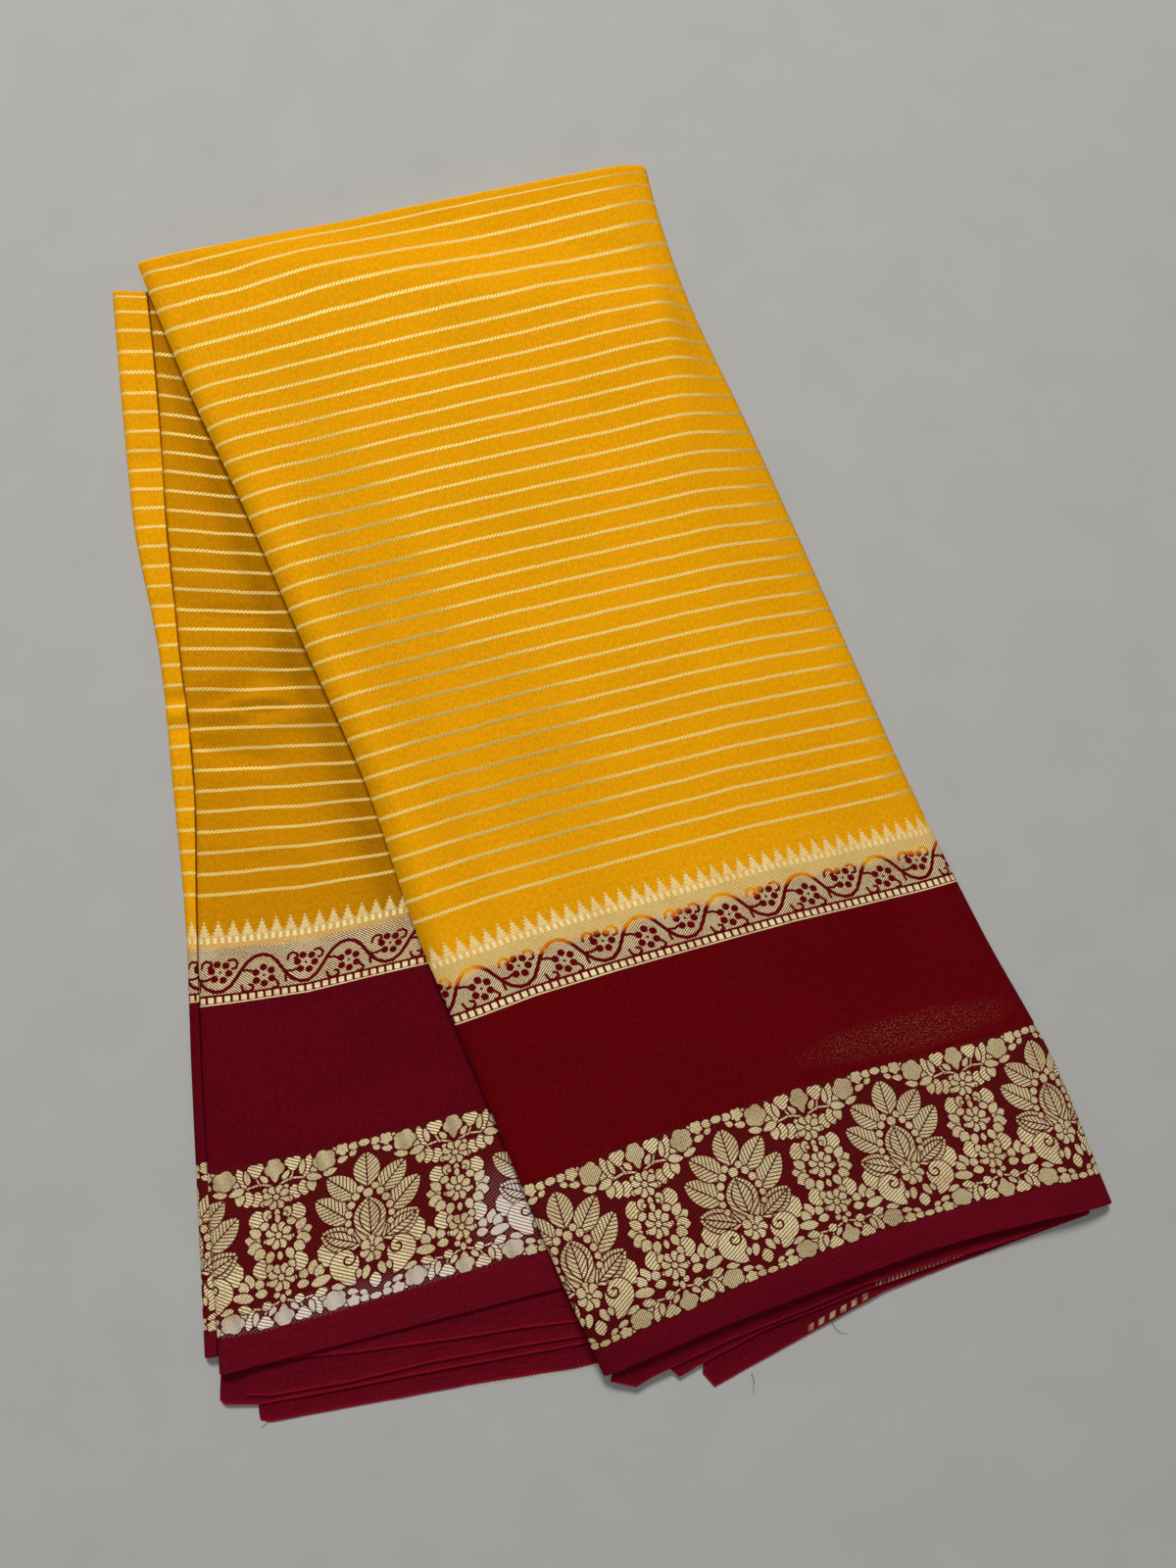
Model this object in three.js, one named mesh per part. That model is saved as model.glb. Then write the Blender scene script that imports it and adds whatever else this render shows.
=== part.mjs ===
// A yellow saree with gold stripes and a deep maroon border, folded for the shelf.
// Its length is folded back and forth into panels, the folded length is doubled across its width,
// and the pile is then opened like a fan: an upper stack turned over a lower stack.
// Millimetres, +Z up. The saree lies flat on z = 0, its doubled edge towards +Y and its hems towards -Y.
import * as THREE from 'three';

// Cloth
const CLOTH_WALL = 1.5; // drawn thickness of the outer cloth of a stack
const HEM_WALL = 1.5; // drawn thickness of a hem layer that peeks out
const SEAM_GAP = 0.45; // clearance between neighbouring pieces
const HEM_START = 2.6; // the hem layers begin this far past the hidden layers
const END_RISE = 0.04; // share of the thickness at the foot of the doubled edge
const FOOT_LIFT = 0.4; // the outer cloth ends this far above what carries the stack

// Stacks of folded layers
const LOWER_THICKNESS = 9.5;
const UPPER_THICKNESS_LEFT = 10;
const UPPER_THICKNESS_RIGHT = 12;
const SIDE_FOLD_THICKNESS = 6; // the lower fold that shows beside the lower stack
const UPPER_REST = LOWER_THICKNESS + 0.7; // the upper stack lies at this height on the lower one
const LAYER_COUNT = 2; // rounded fold edges that show under the outer cloth of a side
const LAYER_NOTCH = 1.6; // depth of the groove between two of them
const LAYER_LEAN = 0.5; // the upper one lies this much further in

// Places along the cloth, as shares of the way from the doubled edge to the hem
const STRIPE_FIELD_END = 0.665;
const VINE_BAND_END = 0.7;
const PLAIN_BORDER_END = 0.838;
const LOTUS_BAND_END = 0.971;
const CORE_END = 0.975; // the hidden layers stop here, and the hem layers begin

// Edge lines in plan, a row for each eighth of the length from the doubled edge to the hem
const EDGE_COLUMNS = ['leftX', 'leftY', 'rightX', 'rightY'];
const UPPER_EDGES = table(EDGE_COLUMNS, [
  [-237.5, 235, 28, 311],
  [-208.5, 168, 48, 240],
  [-176.5, 102.5, 77, 173],
  [-146, 36, 105.5, 105.5],
  [-115, -30.5, 133.5, 37.5],
  [-90, -99, 162, -30],
  [-60.5, -166, 193, -96],
  [-31.5, -233, 227, -161.5],
  [-0.5, -300, 252.5, -230],
]);
const LOWER_EDGES = table(EDGE_COLUMNS, [
  [-235, 234.5, 26.5, 216],
  [-225, 168.5, 34.5, 152],
  [-217, 102.5, 42, 93],
  [-207, 36.5, 48.5, 43],
  [-196.5, -29, 55, -8],
  [-191.5, -95.5, 61, -54],
  [-186, -162, 68, -108],
  [-179, -228, 76.5, -176],
  [-171.5, -294, 84.5, -238.5],
]);
const SIDE_FOLD_EDGES = table(EDGE_COLUMNS, [
  [-252, 225.5, -235.5, 226],
  [-241, 161.5, -225.5, 163],
  [-230.5, 97.5, -217.5, 99],
  [-217.5, 34, -207.5, 35],
  [-207.5, -30, -197, -29],
  [-198, -94.5, -192, -94],
  [-192, -159, -186.5, -158],
  [-185.5, -223.5, -179.5, -222],
  [-179, -288, -172.5, -287],
]);

// The rims of the lower stack that the upper stack hangs over
const LOWER_RIM_RIGHT = { x: 26.5, y: 216, slope: -0.128 };
const LOWER_RIM_TOP = { x: -235, y: 234.5, slope: -0.07 };
const LOWER_RIM_HEM = { x: -171.5, y: -294, slope: 0.217 };
const UPPER_RIM_RIGHT = { x: 21, y: 311, slope: -0.415 };
const DRAPE_RIGHT = 95; // length over which the upper stack sinks to the ground beside the lower one
const DRAPE_TOP = 45; // and beyond its doubled edge
const DRAPE_HEM = 60; // and beyond its hem
const DRAPE_START = 2; // the sinking begins this far outside the rim
const DRAPE_MARGIN = 8;

// Rounded sides: reach of the rounding, share of the thickness where the outer cloth ends,
// foot angle and number of flat facets drawn
const UPPER_SIDES = {
  left: { reach: 8, foot: 0.5, angle: 55, steps: 4 },
  right: { reach: 33, foot: 0, angle: 70, steps: 6 },
  top: { reach: 8, foot: 0, angle: 65, steps: 4 },
};
const LOWER_SIDES = {
  left: { reach: 5, foot: 0.5, angle: 55, steps: 4 },
  right: { reach: 10, foot: 0, angle: 65, steps: 5 },
  top: { reach: 7, foot: 0, angle: 65, steps: 4 },
};
const SIDE_FOLD_SIDES = {
  left: { reach: 3.8, foot: 0, angle: 65, steps: 5 },
  right: { reach: 0.8, foot: 0, angle: 75, steps: 2 },
  top: { reach: 5, foot: 0, angle: 65, steps: 4 },
};

// Bows of the doubled edge and of the hem edge, away from a straight line between the corners
const UPPER_TOP_BOW = 6;
const UPPER_HEM_BOW = 9;
const BOW_LENGTH = 0.12; // the bow dies out over this share of the length

// Soft folds in the outer cloth: place as shares across and along, half sizes in mm, height
const CREASE_COLUMNS = ['across', 'along', 'halfAcross', 'halfAlong', 'height', 'turn'];
const UPPER_CREASES = table(CREASE_COLUMNS, [
  [0.17, 0.45, 16, 190, -1.1, 0],
  [0.5, 0.3, 60, 120, 0.9, 12],
  [0.3, 0.72, 20, 90, 0.7, -8],
  [0.62, 0.9, 70, 22, -0.9, 0],
]);
const LOWER_CREASES = table(CREASE_COLUMNS, [
  [0.03, 0.58, 34, 6, -2.4, 0],
  [0.16, 0.55, 44, 13, -1.6, 4],
  [0.2, 0.4, 60, 12, -1.2, 3],
  [0.3, 0.7, 22, 60, -0.9, 0],
]);
const SIDE_FOLD_CREASES = table(CREASE_COLUMNS, [
  [0.5, 0.585, 30, 5, -2, 0],
  [0.5, 0.2, 30, 12, -0.8, 0],
]);

// Hem layers under the outer cloth, a row for each corner of the edge from left to right,
// and the height of a layer's underside over what carries the stack
const HEM_COLUMNS = ['fromLeft', 'edgeX', 'edgeY'];
const LOWER_HEMS = {
  lower_hem_1: {
    height: 5.7,
    edge: [[26, -146, -289], [54, -118, -287.5], [81, -92, -285], [103, -70, -283],
      [136, -38, -279], [169, -6, -276.5], [206, 30, -268]],
  },
  lower_hem_2: {
    height: 3.8,
    edge: [[12, -159.5, -304], [22.5, -149, -304.5], [57, -115, -300], [97, -76, -292.5],
      [130, -44, -288], [164, -11, -284], [206, 30, -275]],
  },
  lower_hem_3: {
    height: 1.9,
    edge: [[1, -171.5, -303], [4, -168.5, -307], [18, -154, -308], [57, -115, -303],
      [97, -76, -297], [164, -11, -288], [206, 30, -278]],
  },
  lower_hem_4: {
    height: 0,
    edge: [[16, -153.5, -312], [21, -150.5, -316], [41, -131, -314], [71, -102, -310],
      [110, -63, -304.5], [164, -11, -298.5], [206, 30, -291]],
  },
};
const UPPER_HEMS = {
  upper_hem_1: {
    height: 4,
    edge: [[10, 3, -303.5], [22, 15, -306.5], [31, 23, -302], [69, 60, -286.5],
      [136, 125, -264], [204, 190, -249], [256, 240, -235]],
  },
  upper_hem_2: {
    height: 2,
    edge: [[39, 31, -299.5], [44, 35.5, -303.5], [52, 44, -299], [85, 75, -284],
      [136, 125, -267.5], [204, 190, -250], [256, 240, -236]],
  },
  upper_hem_3: {
    height: 0,
    edge: [[55, 47, -303], [61, 52.5, -309], [100, 90, -291], [121, 110, -281],
      [147, 135, -269], [204, 190, -252], [256, 240, -236.5]],
  },
};

// Colours of the cloth
const FIELD_YELLOW = { color: 0xd98e04, roughness: 0.75, metalness: 0 };
const BORDER_MAROON = { color: 0x5c0614, roughness: 0.8, metalness: 0 };
const ZARI_GOLD = { color: 0xb08a4a, roughness: 0.45, metalness: 0.6 };
const LAYERED_MAROON = { color: 0x4d0713, roughness: 0.85, metalness: 0 };

// Grid of the drawn surfaces
const LAYER_STEPS = 3;
const HEM_STEP = 15;
const HEM_SHARES = [0, 0.34, 0.67, 1];
const FLAT_STEPS = 9;
const FIELD_ROWS = 13;
const ROW_CROWDING = 1.4; // the field's rows lie closer together towards the doubled edge

function table(columns, rows) {
  return rows.map((row) => Object.fromEntries(columns.map((name, i) => [name, row[i]])));
}

function clamp01(value) {
  return Math.min(1, Math.max(0, value));
}

function smooth(value) {
  const t = clamp01(value);
  return t * t * (3 - 2 * t);
}

function mix(a, b, share) {
  return a + (b - a) * share;
}

// Smooth value of one column of evenly spaced rows
function alongRows(rows, column, share) {
  const place = clamp01(share) * (rows.length - 1);
  const i = Math.min(rows.length - 2, Math.floor(place));
  const t = place - i;
  const value = (k) => rows[Math.min(rows.length - 1, Math.max(0, k))][column];
  const [a, b, c, d] = [value(i - 1), value(i), value(i + 1), value(i + 2)];
  return 0.5 * (2 * b + (c - a) * t + (2 * a - 5 * b + 4 * c - d) * t * t + (3 * b - a - 3 * c + d) * t * t * t);
}

// Plan place of a point at distances from the left edge of a stack, as a share of its length
function planPoint(stack, fromLeft, along) {
  const left = [alongRows(stack.edges, 'leftX', along), alongRows(stack.edges, 'leftY', along)];
  const right = [alongRows(stack.edges, 'rightX', along), alongRows(stack.edges, 'rightY', along)];
  const width = Math.hypot(right[0] - left[0], right[1] - left[1]);
  const across = fromLeft / width;
  const arch = 4 * clamp01(across) * (1 - clamp01(across));
  const bow = stack.topBow * smooth(1 - along / BOW_LENGTH) + stack.hemBow * smooth(1 - (1 - along) / BOW_LENGTH);
  return { x: mix(left[0], right[0], across), y: mix(left[1], right[1], across) + bow * arch, across, width };
}

function sectionWidth(stack, along) {
  return planPoint(stack, 0, along).width;
}

// Height on which the upper stack rests: on the lower stack, then sinking to the ground beside it
function upperRest(x, y) {
  const rimX = LOWER_RIM_RIGHT.x + (y - LOWER_RIM_RIGHT.y) * LOWER_RIM_RIGHT.slope;
  const outerX = UPPER_RIM_RIGHT.x + (y - UPPER_RIM_RIGHT.y) * UPPER_RIM_RIGHT.slope;
  const rimY = LOWER_RIM_TOP.y + (x - LOWER_RIM_TOP.x) * LOWER_RIM_TOP.slope;
  const rimHemY = LOWER_RIM_HEM.y + (x - LOWER_RIM_HEM.x) * LOWER_RIM_HEM.slope;
  const drape = Math.max(12, Math.min(DRAPE_RIGHT, outerX - rimX - DRAPE_MARGIN));
  const sinkRight = smooth((x - rimX - DRAPE_START) / drape);
  const sinkTop = smooth((y - rimY - DRAPE_START) / DRAPE_TOP);
  const sinkHem = smooth((rimHemY - y - DRAPE_START) / DRAPE_HEM);
  return UPPER_REST * (1 - sinkRight) * (1 - sinkTop) * (1 - sinkHem);
}

function creaseHeight(stack, across, along) {
  let height = 0;
  for (const crease of stack.creases) {
    const turn = THREE.MathUtils.degToRad(crease.turn);
    const acrossMm = (across - crease.across) * stack.width;
    const alongMm = (along - crease.along) * stack.length;
    const p = (acrossMm * Math.cos(turn) + alongMm * Math.sin(turn)) / crease.halfAcross;
    const q = (alongMm * Math.cos(turn) - acrossMm * Math.sin(turn)) / crease.halfAlong;
    height += crease.height * Math.exp(-p * p - q * q);
  }
  return height;
}

// One side's rounding: distance in from the edge line and share of the thickness, from foot to crown
function nose(side, depth) {
  const start = THREE.MathUtils.degToRad(side.angle);
  const reach = Math.max(0.3, side.reach - depth);
  const points = [];
  for (let i = 0; i <= side.steps; i += 1) {
    const turn = mix(start, Math.PI, i / side.steps);
    const rise = (Math.cos(start) - Math.cos(turn)) / (Math.cos(start) + 1);
    points.push({ inset: depth + reach * (1 - Math.sin(turn)), rise: mix(side.foot, 1, rise) });
  }
  return points;
}

// The hidden layers under the outer cloth's foot, as rounded fold edges with grooves between them
function layeredEdge(side, depth) {
  const points = [];
  if (side.foot === 0) return points;
  const steps = LAYER_COUNT * LAYER_STEPS;
  for (let i = 0; i < steps; i += 1) {
    const share = i / steps;
    const bulge = Math.abs(Math.sin(Math.PI * share * LAYER_COUNT)) ** 0.7;
    const lean = LAYER_LEAN * share;
    points.push({ inset: depth * 0.4 + LAYER_NOTCH * (1 - bulge) + lean, rise: side.foot * share });
  }
  return points;
}

// Samples across a stack: insets from either edge line and shares of the thickness
function acrossSamples(stack, depth, layered) {
  const { left, right } = stack.sides;
  const leftSide = (layered ? layeredEdge(left, depth) : []).concat(nose(left, depth));
  const rightSide = (layered ? layeredEdge(right, depth) : []).concat(nose(right, depth));
  const samples = leftSide.map((p) => ({ leftInset: p.inset, rise: p.rise }));
  for (let i = 1; i < stack.flatSteps; i += 1) samples.push({ share: i / stack.flatSteps, rise: 1 });
  return samples.concat(rightSide.reverse().map((p) => ({ rightInset: p.inset, rise: p.rise })));
}

// Samples along all stretches up to the hem layers, at the same places as those of the outer cloth
function hiddenSamples(stack, depth) {
  const samples = [];
  for (const stretch of STRETCHES) {
    const start = samples.length > 0 ? samples.pop().along : 0;
    samples.push(...alongSamples(stack, depth, stretch.from, Math.min(stretch.to, CORE_END), stretch.rows));
    if (stretch.from === 0) continue;
    samples[samples.length - stretch.rows - 1].along = start;
  }
  return samples;
}

// Samples along a stack between two shares of its length, rounded at the doubled edge
function alongSamples(stack, depth, from, to, rowCount) {
  const samples = [];
  const crowding = from === 0 ? ROW_CROWDING : 1;
  let start = from;
  if (from === 0) {
    const rounding = nose(stack.sides.top, depth);
    rounding.forEach((p) => samples.push({ along: p.inset / stack.length, rise: Math.max(p.rise, END_RISE) }));
    start = samples.pop().along;
  }
  for (let i = 0; i <= rowCount; i += 1) {
    samples.push({ along: mix(start, to, (i / rowCount) ** crowding), rise: 1 });
  }
  return samples;
}

// Distance of a column of samples from the left edge line
function columnPlace(stack, depth, column, width) {
  if (column.leftInset !== undefined) return column.leftInset;
  if (column.rightInset !== undefined) return width - column.rightInset;
  const leftReach = Math.max(depth + 0.3, stack.sides.left.reach);
  const rightReach = Math.max(depth + 0.3, stack.sides.right.reach);
  return mix(leftReach, width - rightReach, column.share);
}

// A point of a stack's surface at a depth under its outer face
function stackPoint(stack, depth, column, row) {
  const plan = planPoint(stack, columnPlace(stack, depth, column, sectionWidth(stack, row.along)), row.along);
  const full = mix(stack.thicknessLeft, stack.thicknessRight, smooth(plan.across));
  const crown = full + creaseHeight(stack, plan.across, row.along) - depth - FOOT_LIFT;
  const foot = stack.rest(plan.x, plan.y) + FOOT_LIFT;
  return new THREE.Vector3(plan.x, plan.y, foot + crown * column.rise * row.rise);
}

// The point under it on what carries the stack, with the columns spread evenly between the two feet
function restPoint(stack, depth, columns, index, row) {
  const width = sectionWidth(stack, row.along);
  const first = columnPlace(stack, depth, columns[0], width);
  const last = columnPlace(stack, depth, columns[columns.length - 1], width);
  const plan = planPoint(stack, mix(first, last, index / (columns.length - 1)), row.along);
  return new THREE.Vector3(plan.x, plan.y, stack.rest(plan.x, plan.y));
}

// One closed body between two grids of points that have the same rows and columns
function closedBody(topRows, bottomRows) {
  const rowCount = topRows.length;
  const columnCount = topRows[0].length;
  const positions = [];
  const faces = [];
  const push = (grid) => grid.forEach((row) => row.forEach((p) => positions.push(p.x, p.y, p.z)));
  push(topRows);
  push(bottomRows);
  const top = (r, c) => r * columnCount + c;
  const bottom = (r, c) => rowCount * columnCount + top(r, c);
  const quad = (a, b, c, d) => faces.push(a, b, c, a, c, d);
  for (let r = 0; r < rowCount - 1; r += 1) {
    for (let c = 0; c < columnCount - 1; c += 1) {
      quad(top(r, c), top(r + 1, c), top(r + 1, c + 1), top(r, c + 1));
      quad(bottom(r, c), bottom(r, c + 1), bottom(r + 1, c + 1), bottom(r + 1, c));
    }
    quad(top(r, 0), bottom(r, 0), bottom(r + 1, 0), top(r + 1, 0));
    const last = columnCount - 1;
    quad(top(r, last), top(r + 1, last), bottom(r + 1, last), bottom(r, last));
  }
  for (let c = 0; c < columnCount - 1; c += 1) {
    quad(top(0, c), top(0, c + 1), bottom(0, c + 1), bottom(0, c));
    const last = rowCount - 1;
    quad(top(last, c), bottom(last, c), bottom(last, c + 1), top(last, c + 1));
  }
  const geometry = new THREE.BufferGeometry();
  geometry.setAttribute('position', new THREE.Float32BufferAttribute(positions, 3));
  geometry.setIndex(faces);
  geometry.computeVertexNormals();
  return geometry;
}

function namedMesh(name, geometry, looks) {
  const mesh = new THREE.Mesh(geometry, new THREE.MeshStandardMaterial(looks));
  mesh.name = name;
  return mesh;
}

// A stretch of a stack's outer cloth between two shares of its length
function clothStretch(name, stack, stretch) {
  const { start, end } = stretchEnds(stack, stretch);
  const grid = (depth) => {
    const columns = acrossSamples(stack, depth, false);
    const rows = alongSamples(stack, depth, start, end, stretch.rows);
    return rows.map((row) => columns.map((column) => stackPoint(stack, depth, column, row)));
  };
  return namedMesh(name, closedBody(grid(0), grid(CLOTH_WALL)), stretch.looks);
}

// The hidden layers of a stack as one rounded solid with a flat underside
function hiddenLayers(name, stack) {
  const depth = CLOTH_WALL + SEAM_GAP;
  return layeredSolid(name, stack, depth, hiddenSamples(stack, depth), LAYERED_MAROON);
}

// A stretch of the fold beside the lower stack, as one solid with a flat underside
function foldStretch(name, stack, stretch) {
  const { start, end } = stretchEnds(stack, stretch);
  return layeredSolid(name, stack, 0, alongSamples(stack, 0, start, end, stretch.rows), stretch.looks);
}

function layeredSolid(name, stack, depth, rows, looks) {
  const columns = acrossSamples(stack, depth, depth > 0);
  const topRows = rows.map((row) => columns.map((column) => stackPoint(stack, depth, column, row)));
  const restRows = rows.map((row) => columns.map((column, i) => restPoint(stack, depth, columns, i, row)));
  return namedMesh(name, closedBody(topRows, restRows), looks);
}

// The two ends of a stretch, each half a seam gap short of its neighbour
function stretchEnds(stack, stretch) {
  const gap = SEAM_GAP / stack.length / 2;
  return {
    start: stretch.from === 0 ? 0 : stretch.from + gap,
    end: stretch.to === 1 ? 1 : stretch.to - gap,
  };
}

// Place of a hem layer's edge at a distance from the left edge line, between its corners
function hemEdge(corners, fromLeft) {
  const next = Math.max(1, corners.findIndex((corner) => corner.fromLeft >= fromLeft - 1e-6));
  const [a, b] = [corners[next - 1], corners[next]];
  const share = (fromLeft - a.fromLeft) / (b.fromLeft - a.fromLeft);
  return { x: mix(a.edgeX, b.edgeX, share), y: mix(a.edgeY, b.edgeY, share) };
}

// Stations across a stack that its hem layers share: their own corners and evenly spaced ones
function hemStations(hems) {
  const stations = Object.values(hems).flatMap((hem) => hem.edge.map((row) => row[0]));
  const last = Math.max(...stations);
  for (let place = HEM_STEP; place < last; place += HEM_STEP) {
    if (stations.every((other) => Math.abs(other - place) > HEM_STEP / 3)) stations.push(place);
  }
  return [...new Set(stations)].sort((a, b) => a - b);
}

// A hem layer: a low slab from the hidden layers out to its own edge
function hemLayer(name, stack, hem, stations) {
  const start = CORE_END + HEM_START / stack.length;
  const corners = table(HEM_COLUMNS, hem.edge);
  const [first, last] = [corners[0].fromLeft, corners[corners.length - 1].fromLeft];
  const own = stations.filter((place) => place >= first && place <= last);
  const grid = (lift) => HEM_SHARES.map((share) => own.map((place) => {
    const inner = planPoint(stack, place, start);
    const edge = hemEdge(corners, place);
    const x = mix(inner.x, edge.x, share);
    const y = mix(inner.y, edge.y, share);
    return new THREE.Vector3(x, y, stack.rest(x, y) + hem.height + lift);
  }));
  return namedMesh(name, closedBody(grid(HEM_WALL), grid(0)), BORDER_MAROON);
}

const upperStack = {
  edges: UPPER_EDGES, sides: UPPER_SIDES, creases: UPPER_CREASES, width: 265, length: 585,
  thicknessLeft: UPPER_THICKNESS_LEFT, thicknessRight: UPPER_THICKNESS_RIGHT, rest: upperRest,
  topBow: UPPER_TOP_BOW, hemBow: UPPER_HEM_BOW, flatSteps: FLAT_STEPS,
};
const lowerStack = {
  edges: LOWER_EDGES, sides: LOWER_SIDES, creases: LOWER_CREASES, width: 262, length: 532,
  thicknessLeft: LOWER_THICKNESS, thicknessRight: LOWER_THICKNESS, rest: () => 0,
  topBow: 0, hemBow: 0, flatSteps: FLAT_STEPS,
};
const sideFold = {
  edges: SIDE_FOLD_EDGES, sides: SIDE_FOLD_SIDES, creases: SIDE_FOLD_CREASES, width: 14, length: 518,
  thicknessLeft: SIDE_FOLD_THICKNESS, thicknessRight: SIDE_FOLD_THICKNESS, rest: () => 0,
  topBow: 0, hemBow: 0, flatSteps: 2,
};

const saree = new THREE.Group();

const STRETCHES = table(['name', 'from', 'to', 'rows', 'looks'], [
  ['striped_field', 0, STRIPE_FIELD_END, FIELD_ROWS, FIELD_YELLOW],
  ['vine_band', STRIPE_FIELD_END, VINE_BAND_END, 1, ZARI_GOLD],
  ['plain_border', VINE_BAND_END, PLAIN_BORDER_END, 4, BORDER_MAROON],
  ['lotus_band', PLAIN_BORDER_END, LOTUS_BAND_END, 4, ZARI_GOLD],
  ['hem_margin', LOTUS_BAND_END, 1, 1, BORDER_MAROON],
]);

for (const [prefix, stack] of [['upper', upperStack], ['lower', lowerStack]]) {
  for (const stretch of STRETCHES) saree.add(clothStretch(`${prefix}_${stretch.name}`, stack, stretch));
  saree.add(hiddenLayers(`${prefix}_hidden_layers`, stack));
}
for (const stretch of STRETCHES) saree.add(foldStretch(`side_fold_${stretch.name}`, sideFold, stretch));
for (const [stack, hems] of [[lowerStack, LOWER_HEMS], [upperStack, UPPER_HEMS]]) {
  const stations = hemStations(hems);
  for (const [name, hem] of Object.entries(hems)) saree.add(hemLayer(name, stack, hem, stations));
}

// The origin is the middle of the underside of the whole
const bounds = new THREE.Box3().setFromObject(saree);
saree.position.set(-(bounds.min.x + bounds.max.x) / 2, -(bounds.min.y + bounds.max.y) / 2, -bounds.min.z);

export default saree;
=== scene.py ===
"""A yellow saree with gold stripes and a maroon and gold border, folded and opened like a fan.

The cloth of two stacks, the fold beside them, their hidden layers and hems, with their finishes and a plain
stage, laid out as a Blender add-on. Sizes in the tables are in millimetres.
"""

import math

import bpy
import numpy as np
from mathutils import Matrix, Vector


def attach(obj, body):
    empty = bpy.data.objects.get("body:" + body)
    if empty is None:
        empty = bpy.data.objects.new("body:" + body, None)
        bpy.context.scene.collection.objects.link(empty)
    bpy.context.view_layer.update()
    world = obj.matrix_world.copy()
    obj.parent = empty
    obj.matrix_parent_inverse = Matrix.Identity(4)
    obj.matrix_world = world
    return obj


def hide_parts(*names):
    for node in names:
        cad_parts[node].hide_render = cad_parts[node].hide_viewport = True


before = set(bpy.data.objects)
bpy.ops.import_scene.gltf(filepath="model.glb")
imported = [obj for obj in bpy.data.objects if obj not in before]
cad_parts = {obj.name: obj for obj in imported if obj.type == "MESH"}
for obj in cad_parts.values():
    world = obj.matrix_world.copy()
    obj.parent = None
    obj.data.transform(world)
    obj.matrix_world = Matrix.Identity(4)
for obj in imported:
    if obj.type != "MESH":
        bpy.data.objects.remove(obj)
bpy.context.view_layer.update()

bl_info = {
    "name": "Folded Saree",
    "version": (1, 0, 0),
    "blender": (4, 5, 0),
    "location": "3D View > Sidebar > Saree",
    "description": "Builds a folded yellow saree with a maroon and gold border",
    "category": "Add Mesh",
}

MM = 0.001
PLAN_SHIFT = (-0.245, 2.5055)  # from the plan of the tables to the frame

# Each stack's thickness at its left and right side, and its width and length as it lies
UPPER_THICKNESS = (10, 12)
LOWER_THICKNESS = (9.5, 9.5)
SIDE_FOLD_THICKNESS = (6, 6)
UPPER_SIZE = (265, 585)
LOWER_SIZE = (262, 532)
SIDE_FOLD_SIZE = (14, 518)
UPPER_BOWS = (4, 9)  # how far the doubled edge and the hem bow

# Places along the cloth, as shares of the way from the doubled edge to the hem
BLOCK_ROW_START = 0.653
VINE_BAND_END = 0.7
PLAIN_BORDER_END = 0.838
LOTUS_BAND_END = 0.971
CORE_END = 0.975

# Stretches of a stack's cloth: both ends, laps under the neighbours at them, CAD node and colour slot
STRETCHES = {
    "field": (0, BLOCK_ROW_START, False, True, "striped_field", "field_cloth"),
    "vine": (BLOCK_ROW_START, VINE_BAND_END, False, False, "vine_band", "zari_cloth"),
    "plain": (VINE_BAND_END, PLAIN_BORDER_END, True, True, "plain_border", "border_cloth"),
    "lotus": (PLAIN_BORDER_END, LOTUS_BAND_END, False, False, "lotus_band", "zari_cloth"),
    "margin": (LOTUS_BAND_END, 1.0, True, False, "hem_margin", "border_cloth"),
}

CLOTH_WALL = 1.5  # thickness of the outer cloth's shells
LAYER_DEPTH = 1.95  # of the hidden layers under the outer face
LAYER_INSET = LAYER_DEPTH * 0.4  # of their open side from the edge line
LAYER_NOTCH = 1.6  # between two fold edges of that side
LAYER_LEAN = 0.5  # how much further in that side's top is than its foot
LAYER_STEP = 4.0  # grid of the hidden layers
LAYER_ROWS = 14  # of that side's grid
FOOT_LIFT = 0.4  # of the outer cloth over what carries it
LEAST_REACH = 0.3  # of a rounded side, however deep a layer lies
END_RISE = 0.04  # least share of the height at the doubled edge
HEM_START = 2.6  # how far past the hidden layers' end the hem layers begin
PLAIN_STEP = 2.4  # grid of the stretches without figures
FAR = 9.0  # distance to a figure's edge where there is none
UNDERLAP = 1.2  # a coarse piece runs this far under the fine one beside it
UNDERLAP_DEPTH = 0.16  # and this deep under it

# Edge lines in plan: x and y of the left edge and of the right one, at each eighth of the length
UPPER_EDGES = [
    [-237.5, 235, 28, 311],
    [-208.5, 168, 48, 240],
    [-176.5, 102.5, 77, 173],
    [-146, 36, 105.5, 105.5],
    [-115, -30.5, 133.5, 37.5],
    [-90, -99, 162, -30],
    [-60.5, -166, 193, -96],
    [-31.5, -233, 227, -161.5],
    [-0.5, -300, 252.5, -230],
]
LOWER_EDGES = [
    [-235, 234.5, 26.5, 216],
    [-225, 168.5, 34.5, 152],
    [-217, 102.5, 42, 93],
    [-207, 36.5, 48.5, 43],
    [-196.5, -29, 55, -8],
    [-191.5, -95.5, 61, -54],
    [-186, -162, 68, -108],
    [-179, -228, 76.5, -176],
    [-171.5, -294, 84.5, -238.5],
]
SIDE_FOLD_EDGES = [
    [-252, 225.5, -234.2, 226],
    [-243, 161.5, -224.7, 163],
    [-233, 97.5, -216.9, 99],
    [-217.5, 34, -207.1, 35],
    [-207.5, -30, -197, -29],
    [-198, -94.5, -192, -94],
    [-192, -159, -186.5, -158],
    [-185.5, -223.5, -179.5, -222],
    [-179, -288, -172.5, -287],
]

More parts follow.
